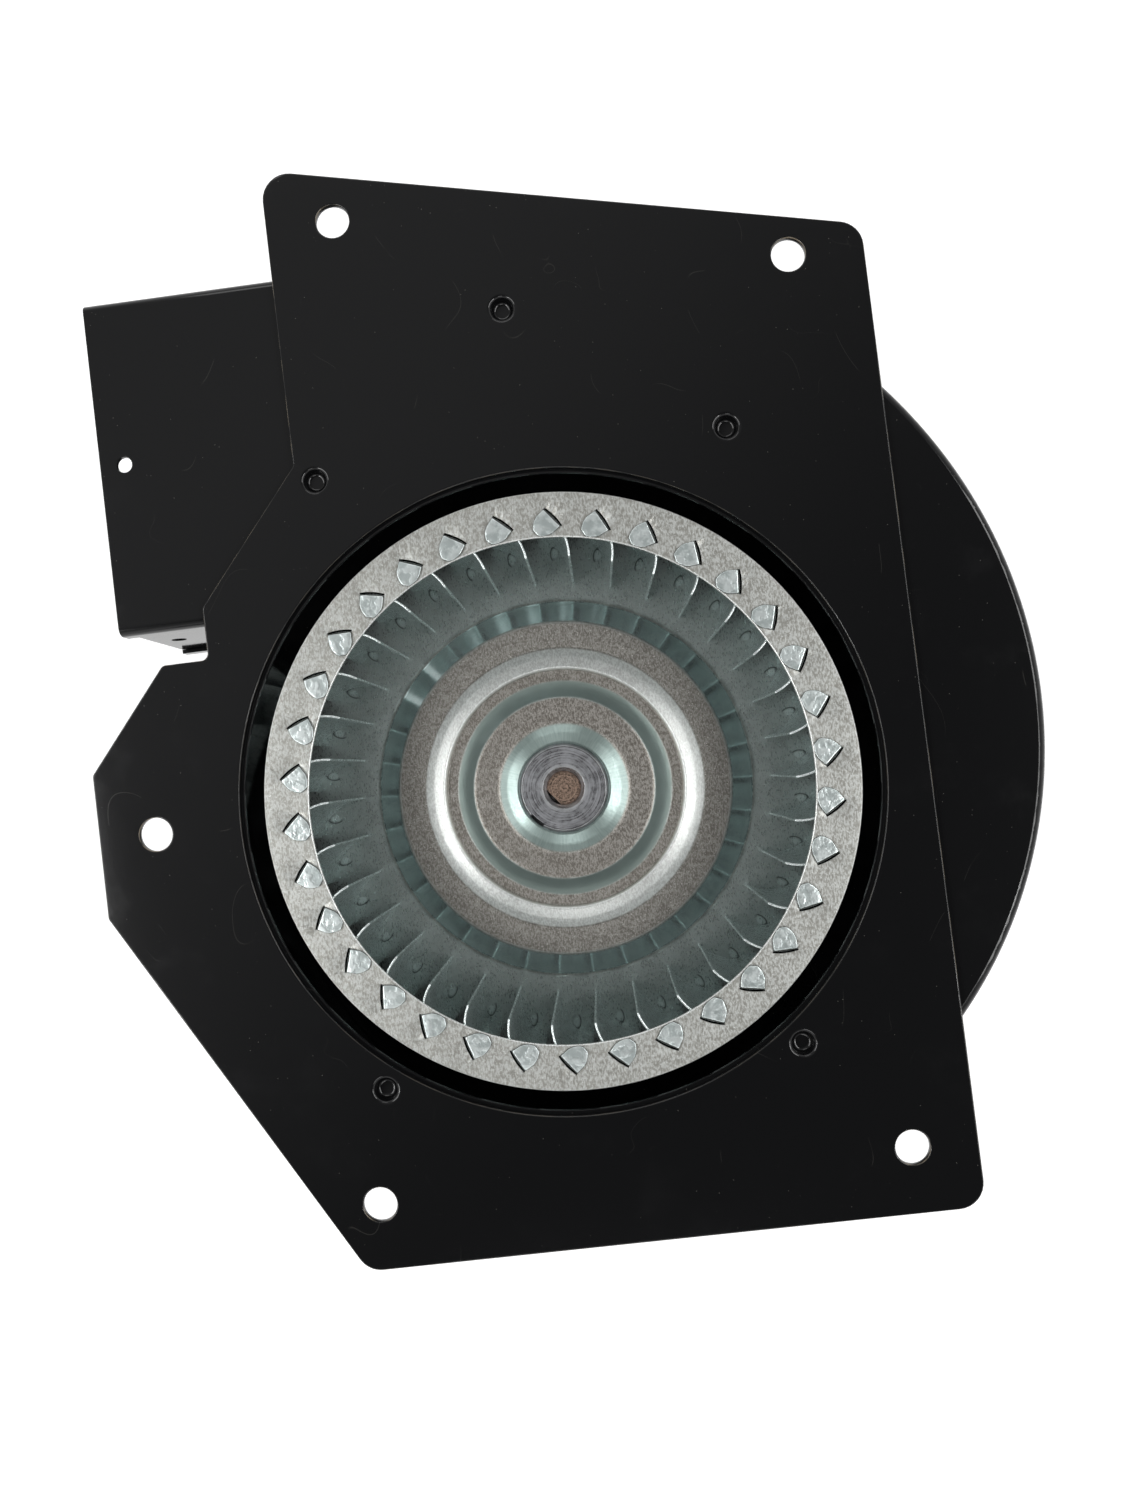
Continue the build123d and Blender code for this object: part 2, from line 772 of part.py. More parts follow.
def neck_frame(inner_margin, outer_margin):
    """Rectangular frame round a pole's neck, between two margins outside the neck's clearance."""
    length = coil_outer - coil_inner
    outer = Box(length, 2 * (neck_half_width + outer_margin), 2 * (neck_half_height + outer_margin))
    inner = Box(
        length + 2 * overcut, 2 * (neck_half_width + inner_margin), 2 * (neck_half_height + inner_margin)
    )
    return Pos((coil_inner + coil_outer) / 2, 0, stack_middle) * (outer - inner)


def coil_bobbins():
    return around(neck_frame(0, bobbin_wall), pole_count)


def stator_coils():
    coil = neck_frame(bobbin_wall, bobbin_wall + coil_build)
    return around(coil, pole_count)


def shading_rings():
    """Closed copper loops, each through the slot of a pole shoe and round its trailing tip."""
    radius = stator_bore_radius + shading_slot_depth / 2
    bar_angle = math.degrees(shading_bar_width / 2 / radius)
    near = shading_slot_angle + bar_angle
    far = pole_shoe_angle / 2 + bar_angle
    half_width = radius * math.sin(math.radians((far - near) / 2))
    height = stack_length + 2 * part_clearance
    wide, tall = 2 * (half_width + shading_bar_width), height + 2 * shading_bar_width
    outer = Box(shading_bar_depth, wide, tall)
    loop = outer - Box(shading_bar_depth + 2 * overcut, 2 * half_width, height)
    return around(Rot(0, 0, (near + far) / 2) * Pos(radius, 0, stack_middle) * loop, pole_count)


# Cooling fan and the seal it turns below

seal_back = rear_panel_back - seal_thickness
retainer_back = seal_back - retainer_sheet
fan_front = retainer_back - fan_seal_gap
fan_rear = fan_front - fan_web - fan_blade_height


def shaft_seal():
    return sleeve(seal_radius, shaft_radius + seal_running_clearance, rear_panel_back, seal_back)


def seal_retainer():
    wall_inner = seal_radius + part_clearance
    wall_outer = wall_inner + retainer_sheet
    lip = seal_radius - retainer_lip
    return turned([
        (retainer_radius, rear_panel_back), (retainer_radius, rear_panel_back - retainer_sheet),
        (wall_outer, rear_panel_back - retainer_sheet), (wall_outer, retainer_back),
        (lip, retainer_back), (lip, seal_back), (wall_inner, seal_back), (wall_inner, rear_panel_back),
    ])


def cooling_fan():
    hub_end = fan_rear - fan_hub_stand
    fan = span(fan_radius, fan_front, fan_front - fan_web) + span(fan_hub_radius, fan_front, hub_end)
    start = shaft_radius + fan_blade_inset
    length = fan_radius - fan_blade_inset - start
    blade = Box(length, fan_blade_thickness, fan_blade_height + fan_web / 2, align=outward)
    fan += around(Pos(start, 0, fan_rear) * blade, fan_blade_count)
    return fan - span(shaft_radius + press_clearance, fan_front + overcut, hub_end - overcut)


# What carries the motor

foot_top = rear_panel_back - grommet_flange
foot_bottom = foot_top - bracket_sheet
sleeve_end = foot_bottom - grommet_flange
bracket_top = front_shoulder + bracket_sheet


def motor_bracket():
    half = bracket_sheet / 2
    foot_middle = foot_top - half
    path = [
        (bell_drum_radius + 2 * half, front_shoulder + half),
        (bracket_leg_radius, front_shoulder + half),
        (bracket_leg_radius, foot_middle),
        (foot_radius + grommet_radius, foot_middle),
    ]
    side_view = trace(FilletPolyline(*path, radius=bracket_bend_radius), line_width=bracket_sheet)
    leg = extrude(Rot(90, 0, 0) * side_view, amount=bracket_leg_width / 2, both=True)
    inner_bend = bell_bend_radius - bell_sheet
    hole_radius = bell_drum_radius + inner_bend + part_clearance
    bracket = sleeve(motor_radius, hole_radius, bracket_top, front_shoulder)
    bracket += around(leg, bracket_leg_count, bracket_leg_angle)
    bracket -= span(hole_radius, bracket_top + overcut, front_shoulder - overcut)
    bracket -= at_bolts(span(bolt_hole_radius, bracket_top + overcut, front_shoulder - overcut))
    return bracket - drill(foot_places, foot_hole_radius, foot_top + overcut, foot_bottom - overcut)


def at_feet(piece):
    return [Pos(x, y, 0) * piece for x, y in foot_places]


def bracket_grommets():
    grommet = span(grommet_radius, rear_panel_back, foot_top) + span(grommet_radius, foot_bottom, sleeve_end)
    grommet += span(foot_hole_radius - part_clearance, foot_top, foot_bottom)
    bore = span(sleeve_radius + press_clearance, rear_panel_back + overcut, sleeve_end - overcut)
    return at_feet(grommet - bore)


def grommet_sleeves():
    return at_feet(sleeve(sleeve_radius, stud_radius + part_clearance, rear_panel_back, sleeve_end))


def bracket_studs():
    stud = span(stud_head_radius, rear_panel_front, rear_panel_back)
    return at_feet(stud + span(stud_radius, rear_panel_back, sleeve_end - stud_nut_height - stud_end_stand))


def bracket_stud_nuts():
    nut = Pos(0, 0, sleeve_end - stud_nut_height) * hexagon(stud_nut_across, stud_nut_height)
    nut += span(grommet_radius - grommet_flange / 2, sleeve_end, sleeve_end - stud_nut_height / 3)
    thread = span(stud_radius + press_clearance, sleeve_end + overcut, sleeve_end - stud_nut_height - overcut)
    return at_feet(nut - thread)


def through_bolts():
    head = Pos(0, 0, rear_shoulder - bolt_head_height) * hexagon(bolt_head_across, bolt_head_height)
    return at_bolts(head + span(bolt_radius, bracket_top + bolt_nut_height + stud_end_stand, rear_shoulder))


def through_bolt_nuts():
    nut = Pos(0, 0, bracket_top) * hexagon(bolt_head_across, bolt_nut_height)
    nut_top = bracket_top + bolt_nut_height
    return at_bolts(nut - span(bolt_radius + press_clearance, nut_top + overcut, bracket_top - overcut))


def lead_bushing():
    """Snap bushing in the rear bell, where the motor's leads come out."""
    depth = 2 * bell_sheet
    body = Pos(0, 0, -depth) * Cylinder(bushing_radius, depth, align=upward)
    body += Cylinder(bushing_flange_radius, bushing_flange_thickness, align=upward)
    body -= Cylinder(bushing_bore_radius, 4 * depth)
    height = stack_rear - bell_rim_height - bell_drum_height / 2
    return Rot(0, 0, bushing_angle) * Pos(bell_drum_radius, 0, height) * Rot(0, 90, 0) * body


write("mounting_plate", mounting_plate())
write("housing_front_panel", front_panel())
write("scroll_wrap", scroll_wrap())
write("duct_side_wall", duct_side_wall())
write("housing_rear_panel", rear_panel())
write("impeller_end_ring", end_ring())
write("impeller_blades", *around(blade(), blade_count, blade_start_angle))
write("impeller_back_plate", back_plate())
write("impeller_hub", hub())
write("hub_set_screw", set_screw())
write("motor_shaft", motor_shaft())
write("shaft_seal", shaft_seal())
write("seal_retainer", seal_retainer())
write("cooling_fan", cooling_fan())
write("motor_bracket", motor_bracket())
write("bracket_grommets", *bracket_grommets())
write("grommet_sleeves", *grommet_sleeves())
write("bracket_studs", *bracket_studs())
write("bracket_stud_nuts", *bracket_stud_nuts())
write("motor_front_bell", bell(True))
write("motor_rear_bell", bell(False))
write("through_bolts", *through_bolts())
write("through_bolt_nuts", *through_bolt_nuts())
write("lead_bushing", lead_bushing())
write("front_bearing", bearing(front_bearing_middle))
write("rear_bearing", bearing(rear_bearing_middle))
write("oil_wicks", *oil_wicks())
write("front_bearing_cap", front_bearing_cap())
write("rear_bearing_cap", rear_bearing_cap())
write("stator_core", stator_core())
write("coil_bobbins", *coil_bobbins())
write("stator_coils", *stator_coils())
write("shading_rings", *shading_rings())
write("rotor_core", rotor_core())
write("rotor_cage", rotor_cage())
write("rotor_spacers", *rotor_spacers())
write("thrust_washers", *thrust_washers())
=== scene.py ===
import json
import math

import bmesh
import bpy
from mathutils import Matrix, Vector

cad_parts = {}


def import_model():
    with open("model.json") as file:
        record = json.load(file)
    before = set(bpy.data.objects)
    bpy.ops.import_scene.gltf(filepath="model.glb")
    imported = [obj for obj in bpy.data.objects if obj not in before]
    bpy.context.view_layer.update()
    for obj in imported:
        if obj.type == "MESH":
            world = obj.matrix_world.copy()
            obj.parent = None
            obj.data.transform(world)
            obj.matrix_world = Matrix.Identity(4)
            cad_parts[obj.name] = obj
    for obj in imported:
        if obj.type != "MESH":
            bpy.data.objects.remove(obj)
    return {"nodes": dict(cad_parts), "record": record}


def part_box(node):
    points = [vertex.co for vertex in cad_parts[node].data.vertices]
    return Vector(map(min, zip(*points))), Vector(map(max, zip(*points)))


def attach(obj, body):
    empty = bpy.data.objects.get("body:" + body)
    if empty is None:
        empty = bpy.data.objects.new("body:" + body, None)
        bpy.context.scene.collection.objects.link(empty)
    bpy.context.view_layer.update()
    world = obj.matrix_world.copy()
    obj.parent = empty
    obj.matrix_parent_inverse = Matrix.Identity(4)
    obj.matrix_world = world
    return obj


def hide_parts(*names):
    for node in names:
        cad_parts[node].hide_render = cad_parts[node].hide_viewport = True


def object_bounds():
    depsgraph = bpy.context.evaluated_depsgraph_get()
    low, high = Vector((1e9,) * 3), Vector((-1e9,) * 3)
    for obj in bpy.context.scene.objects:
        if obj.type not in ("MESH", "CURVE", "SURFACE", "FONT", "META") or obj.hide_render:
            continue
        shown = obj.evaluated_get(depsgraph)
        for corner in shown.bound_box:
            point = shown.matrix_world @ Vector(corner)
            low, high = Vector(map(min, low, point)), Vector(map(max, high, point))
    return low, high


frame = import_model()
cad_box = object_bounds()

MM = 0.001

# Steps in a full turn of a large piece, round a small hole, and in a corner or bend
TURN_STEPS = 192
HOLE_STEPS = 48
CORNER_STEPS = 8
BEND_STEPS = 5

# Points nearer than this, in metres, are one point: along a spun seam, and where two skins meet
SEAM_GAP = 1e-7
JOIN_GAP = 2e-6

# An edge that turns more than this is sharp, and a face whose normal rises less stands upright
SHARP_TURN = 1.2
UPRIGHT = 0.1

# The sizes that follow are in millimetres: x and y, or radii about the shaft axis, or heights

# Mounting plate: corners with their radii, holes, pressed marks and clinches
PLATE_CORNERS = [
    (-48.0, 139.1, 5.5), (76.8, 110.1, 5.5), (76.8, -95.2, 5.5), (-51.8, -95.2, 5.5), (-98.5, -15.8, 1.5),
    (-98.5, 14.9, 1.5), (-80.9, 36.4, 1.5), (-70.9, 36.4, 1.5), (-70.9, 47.5, 1.5), (-48.0, 75.1, 1.5),
]
PLATE_SHEET = 1.5
PLATE_OPENING = 67.9
PLATE_EDGE = 0.3
FIXING_HOLES = [(-33.6, 126.0), (61.0, 105.6), (-86.3, 0.9), (-47.75, -81.6), (63.35, -81.6)]
FIXING_RADIUS = 3.55
PRESSED_MARKS = [(37.3, 94.9), (-39.0, 105.8), (-56.5, -46.9)]
CLINCHES = [(0.0, 102.5), (-43.8, 71.4), (43.8, 71.4), (-43.8, -58.0), (43.8, -58.0)]

# Clinch: a round cup with a bend at its mouth and one at its floor, on the plate's face and on its back
CLINCH_RADIUS = 2.5
CLINCH_FLOOR = 1.9
CLINCH_DEPTH = 2.1
CLINCH_WALL = 0.4
CLINCH_RIM = 3.3
CLINCH_REACH = 1.2 * CLINCH_RIM
CLINCH_FACE_BENDS = (0.75, 0.9)
CLINCH_BACK_BENDS = (0.2, 0.3)

# Worn paint and a painted highlight on the plate's edges: the heights where they show, how they come in away
# from the opening and away from a clinch. Then the ring that each pressed mark leaves
WORN_EDGE_HIGHLIGHT_HEIGHTS = (-0.32, -0.06)
WORN_EDGE_HIGHLIGHT_FADE = (70, 75)
CLINCH_FADE = (3.6, 4.4)
PRESSED_RING = (1.6, 2.5)

# Impeller: the ring, the blades with their folded tabs, and the ring's slots
RING_INNER = 53.8
RING_EDGE = 0.3
RING_EDGE_BAND = 0.5
# Bands of painted highlight along the ring's inner and outer edges
RING_INNER_HIGHLIGHT = (RING_INNER + 0.34, RING_INNER + 0.12)
RING_OUTER_HIGHLIGHT = (63.1, 63.4)
BLADE_COUNT = 34
BLADE_START = math.radians(-3.7)
BLADE_SHEET = 0.5
BLADE_INNER = 49.8
BLADE_OUTER = 61.5
BLADE_ARC = 12.0
BLADE_LEAN = math.radians(3.0)
TAB_INNER = 56.0
TAB_WIDTH = 5.1
TAB_FIT = 1e-4
FOLD_RADIUS = 0.35
FOLD_STEPS = 4
BLADE_EDGE = 0.23
SLOT_MARGIN = 0.06
SLOT_GAP = 0.25

# Reach of the folded tab from its slot, with its width there
TAB_ROWS = [(2.2, 5.0), (3.1, 4.4), (3.9, 3.4), (4.5, 2.3), (4.8, 1.3)]

# Finish of the blades by height over the ring's face: bright tabs, painted shade round them, painted
# highlight on the blade ends
TAB_SHINE = (-0.05, 0.1)
TAB_EDGE_SHADE = (0.02, 0.45)
BLADE_TOP_HIGHLIGHT = (-0.9, -0.1)

# Back plate: radius, height and bend radius along its middle line, from the rim to the hub
WHEEL_SHEET = 0.8
DISH_LINE = [
    (63.5, 0.0, 0.0), (45.6, 0.0, 2.2), (39.6, 5.8, 1.4), (33.6, 5.8, 0.9), (31.2, 6.65, 5.0),
    (28.8, 7.3, 0.4), (28.4, 7.0, 0.2), (28.0, 5.8, 0.25), (25.5, 5.8, 0.5), (21.2, 9.4, 1.7),
    (15.5, 9.4, 2.2), (13.25, 10.42, 8.0), (10.9, 11.2, 1.0), (10.32, 11.2, 0.0),
]

# Finish of the back plate by radius: zones from inner to outer, fades from none to full (the second darkens
# inside the bead as painted shade), and lines of painted highlight
STEP_ZONE = (39.9, 45.4)
BEAD_ZONE = (28.15, 33.2)
CONE_ZONE = (21.4, 25.4)
COLLAR_FADE = (15.5, 14.6)
INNER_SHADE_FADE = (28.6, 28.1)
RIM_FADE = (45.2, 46.4)
BEND_HIGHLIGHT = 39.5
CREASE_HIGHLIGHT = 28.35

# Mark that a rear tab presses through the back plate: its way from the fold, half width and half length
STAKE_OFFSET = 1.1
STAKE_SIZE = (1.1, 1.5)

# Hub: raised lip at the bore, scribed line, painted highlight on the outer edge, and painted shade in the
# notch in that edge
HUB_LIP = (4.7, 5.6)
HUB_SCRIBE = 9.55
HUB_EDGE_HIGHLIGHT = 9.85
HUB_NOTCH_SHADE_FADE = (9.5, 9.6)
HUB_NOTCH_SHADE_ANGLES = (math.radians(-147), math.radians(-125))

# Height under the shaft's tip at which its sawn end begins
SAWN_FADE = (-0.9, -0.5)

# Colours that more than one finish uses: near-white zinc for painted highlights
PAINTED_HIGHLIGHT_ZINC = (0.92, 0.94, 0.92)


# Line of a blade and its tab

BLADE_CENTRE = Matrix.Rotation(BLADE_START, 3, "Z") @ Vector(
    (BLADE_INNER - BLADE_ARC * math.sin(BLADE_LEAN), BLADE_ARC * math.cos(BLADE_LEAN), 0)
)


def blade_angle(radius):
    """Angle about the blade arc's centre at which the blade reaches a radius from the shaft axis."""
    reach = BLADE_CENTRE.length
    toward_axis = math.atan2(-BLADE_CENTRE.y, -BLADE_CENTRE.x)
    return toward_axis + math.acos((reach**2 + BLADE_ARC**2 - radius**2) / (2 * reach * BLADE_ARC))


def blade_point(radius, offset=0.0):
    """Point of a blade at a radius from the shaft axis, or beside it where an offset is given."""
    angle = blade_angle(radius)
    return BLADE_CENTRE + Vector((math.cos(angle), math.sin(angle), 0)) * (BLADE_ARC + offset)


def tab_outer():
    """Radius from the shaft axis at the far end of the tab's fold."""
    low, high = TAB_INNER, BLADE_OUTER
    while high - low > TAB_FIT:
        middle = (low + high) / 2
        if (blade_point(middle) - blade_point(TAB_INNER)).length < TAB_WIDTH:
            low = middle
        else:
            high = middle
    return low


TAB_OUTER = tab_outer()


# Shader maths

class Wire:
    """Something that changes over a surface: the output of a shader node, with arithmetic."""

    def __init__(self, finish, socket):
        self.finish = finish
        self.socket = socket

    def math(self, operation, *values):
        return self.finish.node("Math", {"operation": operation}, values)

    def __add__(self, other):
        return self.math("ADD", self, other)

    def __sub__(self, other):
        return self.math("SUBTRACT", self, other)

    def __rsub__(self, other):
        return self.math("SUBTRACT", other, self)

    def __mul__(self, other):
        return self.math("MULTIPLY", self, other)

    def __truediv__(self, other):
        return self.math("DIVIDE", self, other)

    def __pow__(self, other):
        return self.math("POWER", self, other)

    __radd__ = __add__
    __rmul__ = __mul__


class Finish:
    """A material or a world built from nodes."""

    def __init__(self, owner):
        owner.use_nodes = True
        self.owner = owner
        self.tree = owner.node_tree
        self.tree.nodes.clear()

    def node(self, kind, settings=None, values=(), output=0):
        """Adds a shader node: its settings first, then its sockets by place or by name."""
        made = self.tree.nodes.new("ShaderNode" + kind)
        for name, value in (settings or {}).items():
            setattr(made, name, value)
        pairs = values.items() if isinstance(values, dict) else enumerate(values)
        for name, value in pairs:
            if isinstance(value, Wire):
                self.tree.links.new(value.socket, made.inputs[name])
            elif value is not None:
                made.inputs[name].default_value = value
        return Wire(self, made.outputs[output]) if len(made.outputs) else None

    def place(self):
        return self.node("TexCoord", output="Object")

    def split(self, vector):
        made = self.node("SeparateXYZ", values=[vector])
        outputs = made.socket.node.outputs
        return [Wire(self, outputs[i]) for i in range(3)]

    def noise(self, vector, size, detail=3.0, roughness=0.5):
        """Noise from 0 to 1 with features of about the given size in metres."""
        values = {"Vector": vector, "Scale": 1.0 / size, "Detail": detail, "Roughness": roughness}
        return self.node("TexNoise", values=values)

    def cells(self, vector, size):
        """Distance to the nearest of many scattered points."""
        return self.node("TexVoronoi", {"feature": "F1"}, {"Vector": vector, "Scale": 1.0 / size}, "Distance")

    def combine(self, *values):
        return self.node("CombineXYZ", values=values)

    def between(self, value, low, high, start=0.0, end=1.0):
        """Smooth step from start to end as the value goes from low to high."""
        settings = {"interpolation_type": "SMOOTHSTEP"}
        return self.node("MapRange", settings, [value, low, high, start, end])

    def band(self, value, low, high, soft):
        """1 between two values and 0 outside them, with soft ends."""
        return self.between(value, low - soft, low + soft) * self.between(value, high + soft, high - soft)

    def line(self, value, at, width):
        """1 where the value passes a level, fading out over the width."""
        return self.between(self.node("Math", {"operation": "ABSOLUTE"}, [value - at]), width, 0.0)

    def scaled(self, vector, x, y, z):
        return self.node("VectorMath", {"operation": "MULTIPLY"}, [vector, (x, y, z)])

    def blend(self, share, first, second):
        """Colour between two colours."""
        settings = {"data_type": "RGBA"}
        values = {0: share, 6: rgba(first), 7: rgba(second)}
        return self.node("Mix", settings, values, output=2)

    def bump(self, height, strength, distance, normal=None):
        values = {"Strength": strength, "Distance": distance, "Height": height}
        if normal is not None:
            values["Normal"] = normal
        return self.node("Bump", values=values)

    def surface(self, **values):
        """The shader itself, linked to the output."""
        sockets = {name.replace("_", " "): value for name, value in values.items()}
        shader = self.node("BsdfPrincipled", values=sockets)
        self.node("OutputMaterial", values=[shader])
        return self.owner


def rgba(colour):
    """Colour as a socket takes it, with alpha."""
    return colour if isinstance(colour, Wire) else (*colour, 1.0)


def finish(name):
    return Finish(bpy.data.materials.new(name))


def squared_distance(x, y, point):
    """Square of the distance, across the plate, to a point given in millimetres."""
    off_x, off_y = x - point[0] * MM, y - point[1] * MM
    return off_x * off_x + off_y * off_y


def around_axis(surface, place):
    """Radius and angle about the shaft axis."""
    x, y, _ = surface.split(place)
    radius = (x * x + y * y) ** 0.5
    return radius, surface.node("Math", {"operation": "ARCTAN2"}, [y, x])


def soft_edges(surface, radius=0.15 * MM):
    """Normals rounded over the sharp edges of a piece."""
    return surface.node("Bevel", {"samples": 6}, {"Radius": radius})


# Materials

def black_paint():
    """Gloss black enamel, thin on the plate's edges, where a lighter band paints worn paint and an edge
    highlight, with dust, smudges and fine scratches.
    """
    s = finish("black_paint")
    place = s.place()
    x, y, height = s.split(place)
    orange_peel = s.noise(place, 1.8 * MM, 2.0)
    smudge = s.between(s.noise(place, 22 * MM, 5.0, 0.65), 0.52, 0.7)
    speck = s.between(s.cells(place, 1.7 * MM), 0.075, 0.03)
    speck = speck * s.between(s.noise(place, 8 * MM, 2.0), 0.5, 0.6)
    hair = s.line(s.noise(s.scaled(place, 1, 0.6, 1), 24 * MM, 1.0), 0.5, 0.0016)
    hair = hair * s.between(s.noise(place, 15 * MM, 2.0), 0.56, 0.62)
    rub = s.line(s.noise(s.scaled(place, 0.7, 1, 1), 11 * MM, 1.0), 0.46, 0.0022)
    rub = rub * s.between(s.noise(s.scaled(place, 1, 1, 2), 19 * MM, 2.0), 0.6, 0.66)
    marks = hair * 0.12 + rub * 0.1 + speck * 0.6
    radius, _ = around_axis(s, place)
    # Lighter band on the plate's edges: worn paint and a painted highlight of the edge catching light
    worn_edge_highlight = s.band(height / MM, *WORN_EDGE_HIGHLIGHT_HEIGHTS, 0.03) * s.between(radius / MM, *WORN_EDGE_HIGHLIGHT_FADE, 0.15, 1.0)
    near, far = [(fade * MM) ** 2 for fade in CLINCH_FADE]
    for clinch in CLINCHES:
        worn_edge_highlight = worn_edge_highlight * s.between(squared_distance(x, y, clinch), near, far)
    worn_edge_highlight = worn_edge_highlight * s.between(s.noise(place, 5 * MM, 3.0), 0.4, 0.6)
    colour = s.blend(marks, (0.0045, 0.0046, 0.005), (0.13, 0.125, 0.11))
    # Brassy colour of worn paint and painted highlight on the edges
    colour = s.blend(worn_edge_highlight * 0.6, colour, (0.3, 0.25, 0.18))
    roughness = 0.09 + smudge * 0.05 + marks * 0.3 + worn_edge_highlight * 0.1
    dent = 0.0
    for mark in PRESSED_MARKS:
        off = squared_distance(x, y, mark) ** 0.5
        dent = dent + s.band(off / MM, *PRESSED_RING, 0.5)
    normal = s.bump(orange_peel + dent * 0.6, 0.07, 0.05 * MM, soft_edges(s))
    return s.surface(Base_Color=colour, Roughness=roughness, Normal=normal, IOR=1.5)


def zinc_grain(s, place, warm, cool, bright):
    """Colour of zinc-coated sheet: brown and grey grains with a few bright ones."""
    grain = s.noise(s.scaled(place, 1, 0.45, 1), 0.36 * MM, 3.0, 0.65)
    mottle = s.noise(place, 1.5 * MM, 4.0, 0.6)
    share = s.between(grain * 0.75 + mottle * 0.25, 0.42, 0.58)
    spark = s.between(s.noise(place, 0.28 * MM, 1.0), 0.62, 0.74)
    colour = s.blend(share, warm, cool)
    return s.blend(spark * 0.7, colour, bright), share


def galvanised():
    """Plain zinc-coated sheet."""
    s = finish("galvanised")
    place = s.place()
    colour, share = zinc_grain(s, place, (0.44, 0.43, 0.39), (0.66, 0.66, 0.63), (0.85, 0.85, 0.82))
    normal = s.bump(share, 0.15, 0.04 * MM, soft_edges(s))
    return s.surface(Base_Color=colour, Roughness=0.36 + share * 0.1, Metallic=0.75, Normal=normal)


def ring_zinc():
    """The wheel's front ring, with painted highlights along its inner and outer edges."""
    s = finish("ring_zinc")
    place = s.place()
    radius, _ = around_axis(s, place)
    colour, share = zinc_grain(s, place, (0.4, 0.395, 0.36), (0.6, 0.615, 0.59), (0.82, 0.84, 0.82))
    # Painted highlight along the inner and outer edges
    inner = s.between(radius / MM, *RING_INNER_HIGHLIGHT)
    outer = s.between(radius / MM, *RING_OUTER_HIGHLIGHT)
    colour = s.blend(inner * 0.8 + outer * 0.35, colour, PAINTED_HIGHLIGHT_ZINC)
    roughness = 0.38 + share * 0.1 - inner * 0.14
    normal = s.bump(share, 0.18, 0.04 * MM)
    return s.surface(Base_Color=colour, Roughness=roughness, Metallic=0.7, Normal=normal)


def blade_zinc():
    """Blades of cool zinc-coated sheet, burnished where their tabs are folded over the ring, with painted
    shade round the tabs and a painted highlight on the blade ends.
    """
    s = finish("blade_zinc")
    place = s.place()
    _, _, height = s.split(place)
    above = (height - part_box("impeller_end_ring")[1].z) / MM
    tab = s.between(above, *TAB_SHINE)
    colour, share = zinc_grain(s, place, (0.64, 0.73, 0.72), (0.69, 0.78, 0.77), (0.74, 0.83, 0.82))
    streak = s.between(s.noise(place, 1.7 * MM, 2.0), 0.38, 0.62)
    burnished = s.blend(streak, (0.62, 0.69, 0.68), (0.86, 0.93, 0.92))
    colour = s.blend(tab, colour, burnished)
    # Painted shade: a dark outline round each tab
    tab_edge_shade = s.band(above, *TAB_EDGE_SHADE, 0.03)
    colour = s.blend(tab_edge_shade * 0.95, colour, (0.05, 0.055, 0.05))
    # Painted highlight on the blade ends just under the ring's face
    top = s.band(above, *BLADE_TOP_HIGHLIGHT, 0.05)
    colour = s.blend(top * 0.5, colour, (0.88, 0.92, 0.91))
    roughness = 0.24 + share * 0.08 + tab * 0.06
    normal = s.bump(streak * tab, 0.4, 0.12 * MM)
    return s.surface(Base_Color=colour, Roughness=roughness, Metallic=0.8, Normal=normal)


